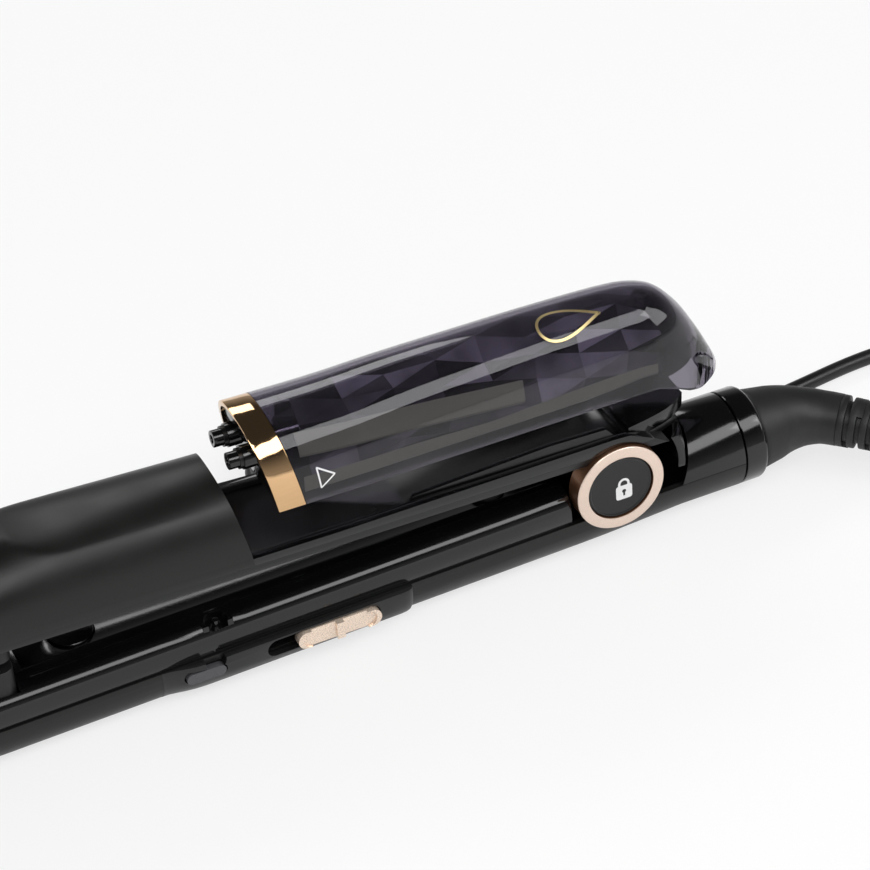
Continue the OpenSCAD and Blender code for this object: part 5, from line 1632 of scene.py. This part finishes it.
@dataclass
class WaterTank:
    """Clear tank with its gold collar, facets and nozzles, drawn seated and then moved out."""

    face: float = -107.6
    shell: float = -100.0
    wall: float = 1.5
    back: float = 8.5
    lift: float = 12.0
    seed: int = 5
    facets_along: tuple[float, float, int] = (-96.5, 9.0, 9)
    facets_round: int = 7
    facet_depth: float = 2.4
    under_strips: float = 1.1
    end_low: float = 17.2
    low: Table = ((-113, 14.7), (-83.5, 14.7), (-1.5, 16.2), (3.5, 16), (9.5, 13.3), (14.5, 10.4),
                  (18.5, 9), (30, 8.6))
    top_rows: Table = ((-107.5, 36.8), (-88.5, 37.3), (-68.5, 38.8), (-48.5, 39.7), (-28.5, 40.5),
                       (-8.5, 40.8), (1.5, 40.4), (9.5, 38.2), (15.5, 32.6), (19.5, 26.6), (23.5, 19.6),
                       (26, 14.8), (27.5, 12), (28.3, 10.4))
    tail_rows: Table = ((-20, 0), (-10, 0), (0, 0.1), (3.5, 0.4), (9.5, 1.6), (15.5, 3.2), (19.5, 4.9),
                        (23.1, 7.3), (25.5, 9.5), (27.1, 11.5), (28.1, 13.7), (28.3, 14.3))
    tail_end: Table = ((24.6, 0.2), (25.0, 0), (25.6, 0), (26.2, 0), (26.7, 0), (27.1, 0), (27.5, 0),
                       (27.8, 0), (28.05, 0), (28.2, 0), (28.3, 0))
    steps: int = 64
    emblem: tuple[float, float] = (-19.1, -6.1)
    thick: tuple[float, float, float] = (10.0, 15.3, 5.0)
    end: tuple[float, float, float] = (6.5, 13.5, 5.5)
    triangle: Table = ((-96.4, -22.3), (-95.6, -28.5), (-91.6, -25.5))
    # Edges of the pale bands that are painted reflections, as x and length round the arch.
    painted_reflections: tuple[tuple[Table, Table], ...] = (
        (((-99.6, -10.3), (-35.9, -15.6)), ((-99.6, -16.2), (-35.6, -21.5))),
        (((-99.6, -21.9), (-45.6, -24.1), (3.8, -21.6)), ((-99.6, -29.2), (-46, -31.2), (3.8, -24.2))),
    )

    def __post_init__(self) -> None:
        """Rounds the tables of the top and the tail."""
        self.top = smooth_path(self.top_rows, 8)
        self.tail = smooth_path(self.tail_rows, 8)

    def half(self, x: float) -> float:
        """Half width of the tank."""
        return FORM.half(x) - float(lookup(x, self.tail))

    def frame(self, x: float, inset: float) -> tuple[float, float, float, float]:
        """Half width, lower edge, spring and arch height at x."""
        low = float(lookup(x, self.low))
        top = float(lookup(x, self.top)) - inset
        side = min(3.0, 0.3 * (top - low))
        return self.half(x) - inset, low, low + side, top - low - side

    def ring(self, x: float, inset: float, lean: float = 0.0) -> Array:
        """Outline of the tank at x, drawn in by inset."""
        a, low, spring, high = self.frame(x, inset)
        return hood(x, a, low, spring, high, 2.2, lean, self.steps)

    def stations(self) -> list[tuple[float, float]]:
        """Places along the shell with how much they lean."""
        rows = [(self.shell + 0.05, FORM.lean), (-96.5, 0.19), (-93, 0.155), (-88, 0.07), (-83, 0)]
        rows += [(x, 0.0) for x in np.linspace(-76, 0, 14)]
        rows += [(x, 0.0) for x in np.arange(2.4, 25.3, 1.2)]
        return rows

    def inner_inset(self, x: float) -> float:
        """Wall of the shell at x, growing to a thick rounded end at the tail."""
        start, length, grow = self.thick
        u = min(max((x - start) / length, 0), 0.995)
        room = min(0.66 * self.half(x), 0.4 * (float(lookup(x, self.top)) - float(lookup(x, self.low))))
        return min(self.wall + grow * (1 - math.sqrt(1 - u * u)), room)

    def clear_shell(self) -> bpy.types.Mesh:
        """Clear hood with its thick tail end."""
        rows = self.stations()
        bench = Bench(Solid.shell([self.ring(x, 0, k) for x, k in rows],
                                  [self.ring(x, self.inner_inset(x), k) for x, k in rows]))
        bench.join(Solid.loft([self.ring(x, i) for x, i in self.tail_end]))
        return self.moved(bench.mesh("tank_clear_shell", 70))

    def moved(self, mesh: bpy.types.Mesh) -> bpy.types.Mesh:
        """Takes a mesh of the tank to where it is lifted."""
        mesh.transform(FORM.upper_place(self.back, self.lift))
        return mesh

    def collar(self) -> bpy.types.Mesh:
        """Polished ring round the tank's front."""
        ends = [(self.face, 0.25), (self.face + 0.08, 0.08), (self.face + 0.3, 0), (self.face + 2.5, 0),
                (self.shell - 2.5, 0), (self.shell - 0.3, 0), (self.shell - 0.08, 0.08),
                (self.shell, 0.25)]
        outer = [self.ring(x, i, FORM.lean) for x, i in ends]
        inner = [self.ring(x, self.wall, FORM.lean) for x, _ in ends]
        return self.moved(Bench(Solid.shell(outer, inner)).mesh("tank_gold_collar", 34))

    def facets(self) -> bpy.types.Mesh:
        """Diamond facets along the inside of the shell."""
        count = self.facets_round
        rings = []
        for i, x in enumerate(np.linspace(*self.facets_along)):
            a, low, spring, high = self.frame(x, self.wall + 0.15)
            t = np.arange(count + 1) if i % 2 else np.linspace(-0.5, count + 0.5, count + 2)
            t = np.clip(t / count, 0, 1) * math.pi
            c, s = np.cos(t), np.sin(t)
            deep = np.where((np.arange(len(t)) + i // 2) % 2 == 0, 0.0, self.facet_depth)
            deep = deep + np.where(t < 0.36 * math.pi, self.under_strips, 0)
            y = -(a - deep) * np.sign(c) * np.abs(c) ** (2 / 2.2)
            z = spring + 1.5 + (high - 1.5 - deep) * s ** (2 / 2.2)
            rings.append(level_ring("x", x, y, z))
        starts = np.cumsum([0] + [len(ring) for ring in rings])
        faces = []
        for i in range(len(rings) - 1):
            a, b = starts[i], starts[i + 1]
            m, n = len(rings[i]), len(rings[i + 1])
            for k in range(min(m, n)):
                faces.append((a + k, a + k + 1, b + k) if m > n else (a + k, b + k + 1, b + k))
                if k < min(m, n) - 1:
                    faces.append((a + k + 1, b + k + 1, b + k) if m > n
                                 else (a + k, a + k + 1, b + k + 1))
        mesh = bpy.data.meshes.new("tank_facets")
        mesh.from_pydata(np.concatenate(rings).tolist(), [], faces)
        with edited(mesh) as work:
            bmesh.ops.remove_doubles(work, verts=work.verts, dist=SLIVER)
            bmesh.ops.recalc_face_normals(work, faces=work.faces)
            if sum(f.normal.z * f.calc_area() for f in work.faces) < 0:
                bmesh.ops.reverse_faces(work, faces=work.faces)
            bmesh.ops.solidify(work, geom=work.faces[:], thickness=0.7)
            bmesh.ops.recalc_face_normals(work, faces=work.faces)
        # Random share of painted light for each face.
        tone = np.random.default_rng(self.seed).random(len(mesh.polygons)) ** 1.8
        sizes = [len(p.vertices) for p in mesh.polygons]
        mesh.attributes.new("tone", "FLOAT", "CORNER").data.foreach_set("value", np.repeat(tone, sizes))
        mesh.transform(Matrix.Scale(MM, 4))
        return self.moved(mesh)

    def inner_end(self) -> bpy.types.Mesh:
        """Dark rounded end of the chamber inside the tail."""
        rings = []
        start, length, shrink = self.end
        for u in np.sin(np.linspace(0, math.pi / 2, 14)):
            ring = self.ring(start + length * u, self.wall + 0.8 + shrink * (1 - math.sqrt(1 - u * u)))
            ring[:, 2] = np.maximum(ring[:, 2], self.end_low)
            rings.append(ring)
        return self.moved(Bench(Solid.loft(rings)).mesh("tank_inner_end", 50))

    def strip(self, name: str, edges: tuple[Table, Table], depth: float) -> bpy.types.Mesh:
        """A thin pale band against the inside of the shell, a painted reflection of a strip light.

        Args:
            name: Name of the mesh.
            edges: Upper and lower edge as tables of x and length round the arch.
            depth: How far it lies under the outside.

        Returns:
            The mesh.
        """
        upper, lower = edges
        rows = []
        for x in np.linspace(upper[0][0], upper[-1][0], 25):
            along = np.linspace(lookup(x, upper), lookup(x, lower), 8)
            rows.append(np.array([self.on_shell(x, s, -depth) for s in along]
                                 + [self.on_shell(x, s, -depth - 0.5) for s in along[::-1]]))
        return self.moved(Bench(Solid.loft(rows)).mesh(name))

    def on_shell(self, x: float, along: float, out: float) -> Array:
        """Point on the shell at x, at a length round the arch from the crown, raised by out."""
        a, low, spring, high = self.frame(x, -out)
        q = arch(a, high, 2.2, 400) + [0, spring]
        gone = np.concatenate([[0], np.cumsum(np.linalg.norm(np.diff(q, axis=0), axis=1))])
        s = gone[200] + along
        return np.array([x, np.interp(s, gone, q[:, 0]), np.interp(s, gone, q[:, 1])])

    def line_sign(self, name: str, outline: Array, width: float) -> bpy.types.Mesh:
        """A closed printed line on the shell.

        Args:
            name: Name of the mesh.
            outline: Its middle line as (x, length round the arch).
            width: Width of the line.

        Returns:
            The mesh.
        """
        n = len(outline)
        before, after = np.roll(outline, 1, 0), np.roll(outline, -1, 0)
        side = (after - before)[:, ::-1] * [1, -1]
        side = side / np.linalg.norm(side, axis=1, keepdims=True) * width / 2
        rows = []
        for edge in (outline + side, outline - side):
            for out in (0.02, 0.09):
                rows.append([self.on_shell(x, s, out) for x, s in edge])
        a, b, c, d = (np.array(r) for r in rows)
        ring = [np.array([a[i], b[i], d[i], c[i]]) for i in range(n)]
        points = np.concatenate(ring)
        faces = [((i * 4 + k), (i * 4 + (k + 1) % 4), ((i + 1) % n * 4 + (k + 1) % 4),
                  ((i + 1) % n * 4 + k))
                 for i in range(n) for k in range(4)]
        return self.moved(plain_mesh(name, points, faces))

    def build(self) -> None:
        """Makes and dresses the tank."""
        place("tank_clear_shell", self.clear_shell(), Body.TANK, SMOKE_CLEAR, ("tank_shell",))
        place("tank_gold_collar", self.collar(), Body.TANK, COLLAR_GOLD, ("tank_collar",))
        place("tank_facets", self.facets(), Body.TANK, FACET_DARK, ("tank_liner",))
        stand_in("tank_valve_body", "tank_valve", 0.2, Body.TANK, GLOSS_BLACK)
        t = np.linspace(0, 2 * math.pi, 72, endpoint=False)
        drop = np.stack([np.cos(t), np.sin(t) * np.sin(t / 2) ** 1.4 * 1.2], 1)
        place("drop_emblem", self.line_sign("drop_emblem", drop * [9.0, 5.2] + self.emblem, 0.75),
              Body.TANK, EMBLEM_GOLD, slot="rose_gloss")
        corners = fillet(np.array(self.triangle), 0.2, range(3), 3)
        dense = np.concatenate([np.linspace(corners[i], corners[(i + 1) % len(corners)], 5)[:-1]
                                for i in range(len(corners))])
        # Pale bands inside the shell: painted reflections of a strip light.
        for k, edges in enumerate(self.painted_reflections):
            name = f"tank_light_strip_{k + 1}"
            place(name, self.strip(name, edges, self.wall + 0.3), Body.TANK, PAINTED_REFLECTION_GREY,
                  slot="rose_gloss")
        place("tank_inner_end", self.inner_end(), Body.TANK, FACET_DARK, slot="rose_gloss")
        place("seat_triangle", self.line_sign("seat_triangle", dense, 0.42), Body.TANK, WHITE_PRINT,
              slot="rose_gloss")
        dress(GLOSS_BLACK, "filler_plug")
        dress(SEAL_BLACK, "nozzle_seals")
        dress(TUBE_WHITE, "tank_pickup")


TANK = WaterTank()


@dataclass
class InnerWorks:
    """Pieces inside the housings, and the screws."""

    upper_screws: tuple[float, ...] = (-88.0, -14.0)

    def screw(self, head: float, length: float) -> bpy.types.Mesh:
        """Pan-head screw with a cross recess, its head at the origin and its shank up."""
        profile = [(0.15, 0), (0.15, head - 0.5), (0.3, head - 0.12), (0.55, head), (1.2, head),
                   (1.2, 1.2), (length - 0.6, 1.2), (length, 0.7), (length, 0)]
        bench = Bench(Solid.lathe("z", profile, steps=40))
        bench.cut(Solid.block((-0.4, 0.4), (-1.6, 1.6), (0, 0.6)),
                  Solid.block((-1.6, 1.6), (-0.4, 0.4), (0, 0.6)))
        return bench.mesh("screw")

    def build(self) -> None:
        """Puts the screws in and dresses the rest."""
        points = np.array([(x, 0, 0) for x in SOLE_SCREWS])
        ones, flat = np.ones((3, 3)), np.zeros((3, 3))
        mesh = repeated("sole_screws", self.screw(2.45, 9.0), points, flat, ones, STEEL)
        place("sole_screws", mesh, Body.LOWER, STEEL, ("lower_screws",))
        points = np.array([(x, 0, 9.6) for x in self.upper_screws])
        mesh = repeated("trim_screws", self.screw(2.4, 2.0), points, flat[:2], ones[:2], STEEL)
        mesh.transform(FORM.upper_place())
        place("trim_screws", mesh, Body.UPPER, STEEL, ("upper_screws",))
        dress(BOARD, "circuit_board")
        dress(INNER_GREY, "switch_body", "pump")
        dress(IRON, "transformer")
        dress(SINTER, "lower_heater", "upper_heater")
        dress(SILICONE, "plate_springs", "inlet_seals")
        dress(STEEL, "hinge_pin", "opening_spring", "lock_spring")
        dress(TUBE_WHITE, "steam_pipe")
        dress(ALLOY, "steam_chamber")
        dress(BRASS, "thermal_cutout")
        dress(CERAMIC, "upper_plate")


def main() -> None:
    """Builds the studio and the straightener."""
    logging.basicConfig(level=logging.INFO, format="%(name)s: %(message)s")
    Studio().build()
    guard = CordGuard()
    MainsLead(guard).build()
    guard.build()
    LowerArm().build()
    LockKnob().build()
    UpperArm().build()
    TANK.build()
    InnerWorks().build()


if __name__ == "__main__":
    main()
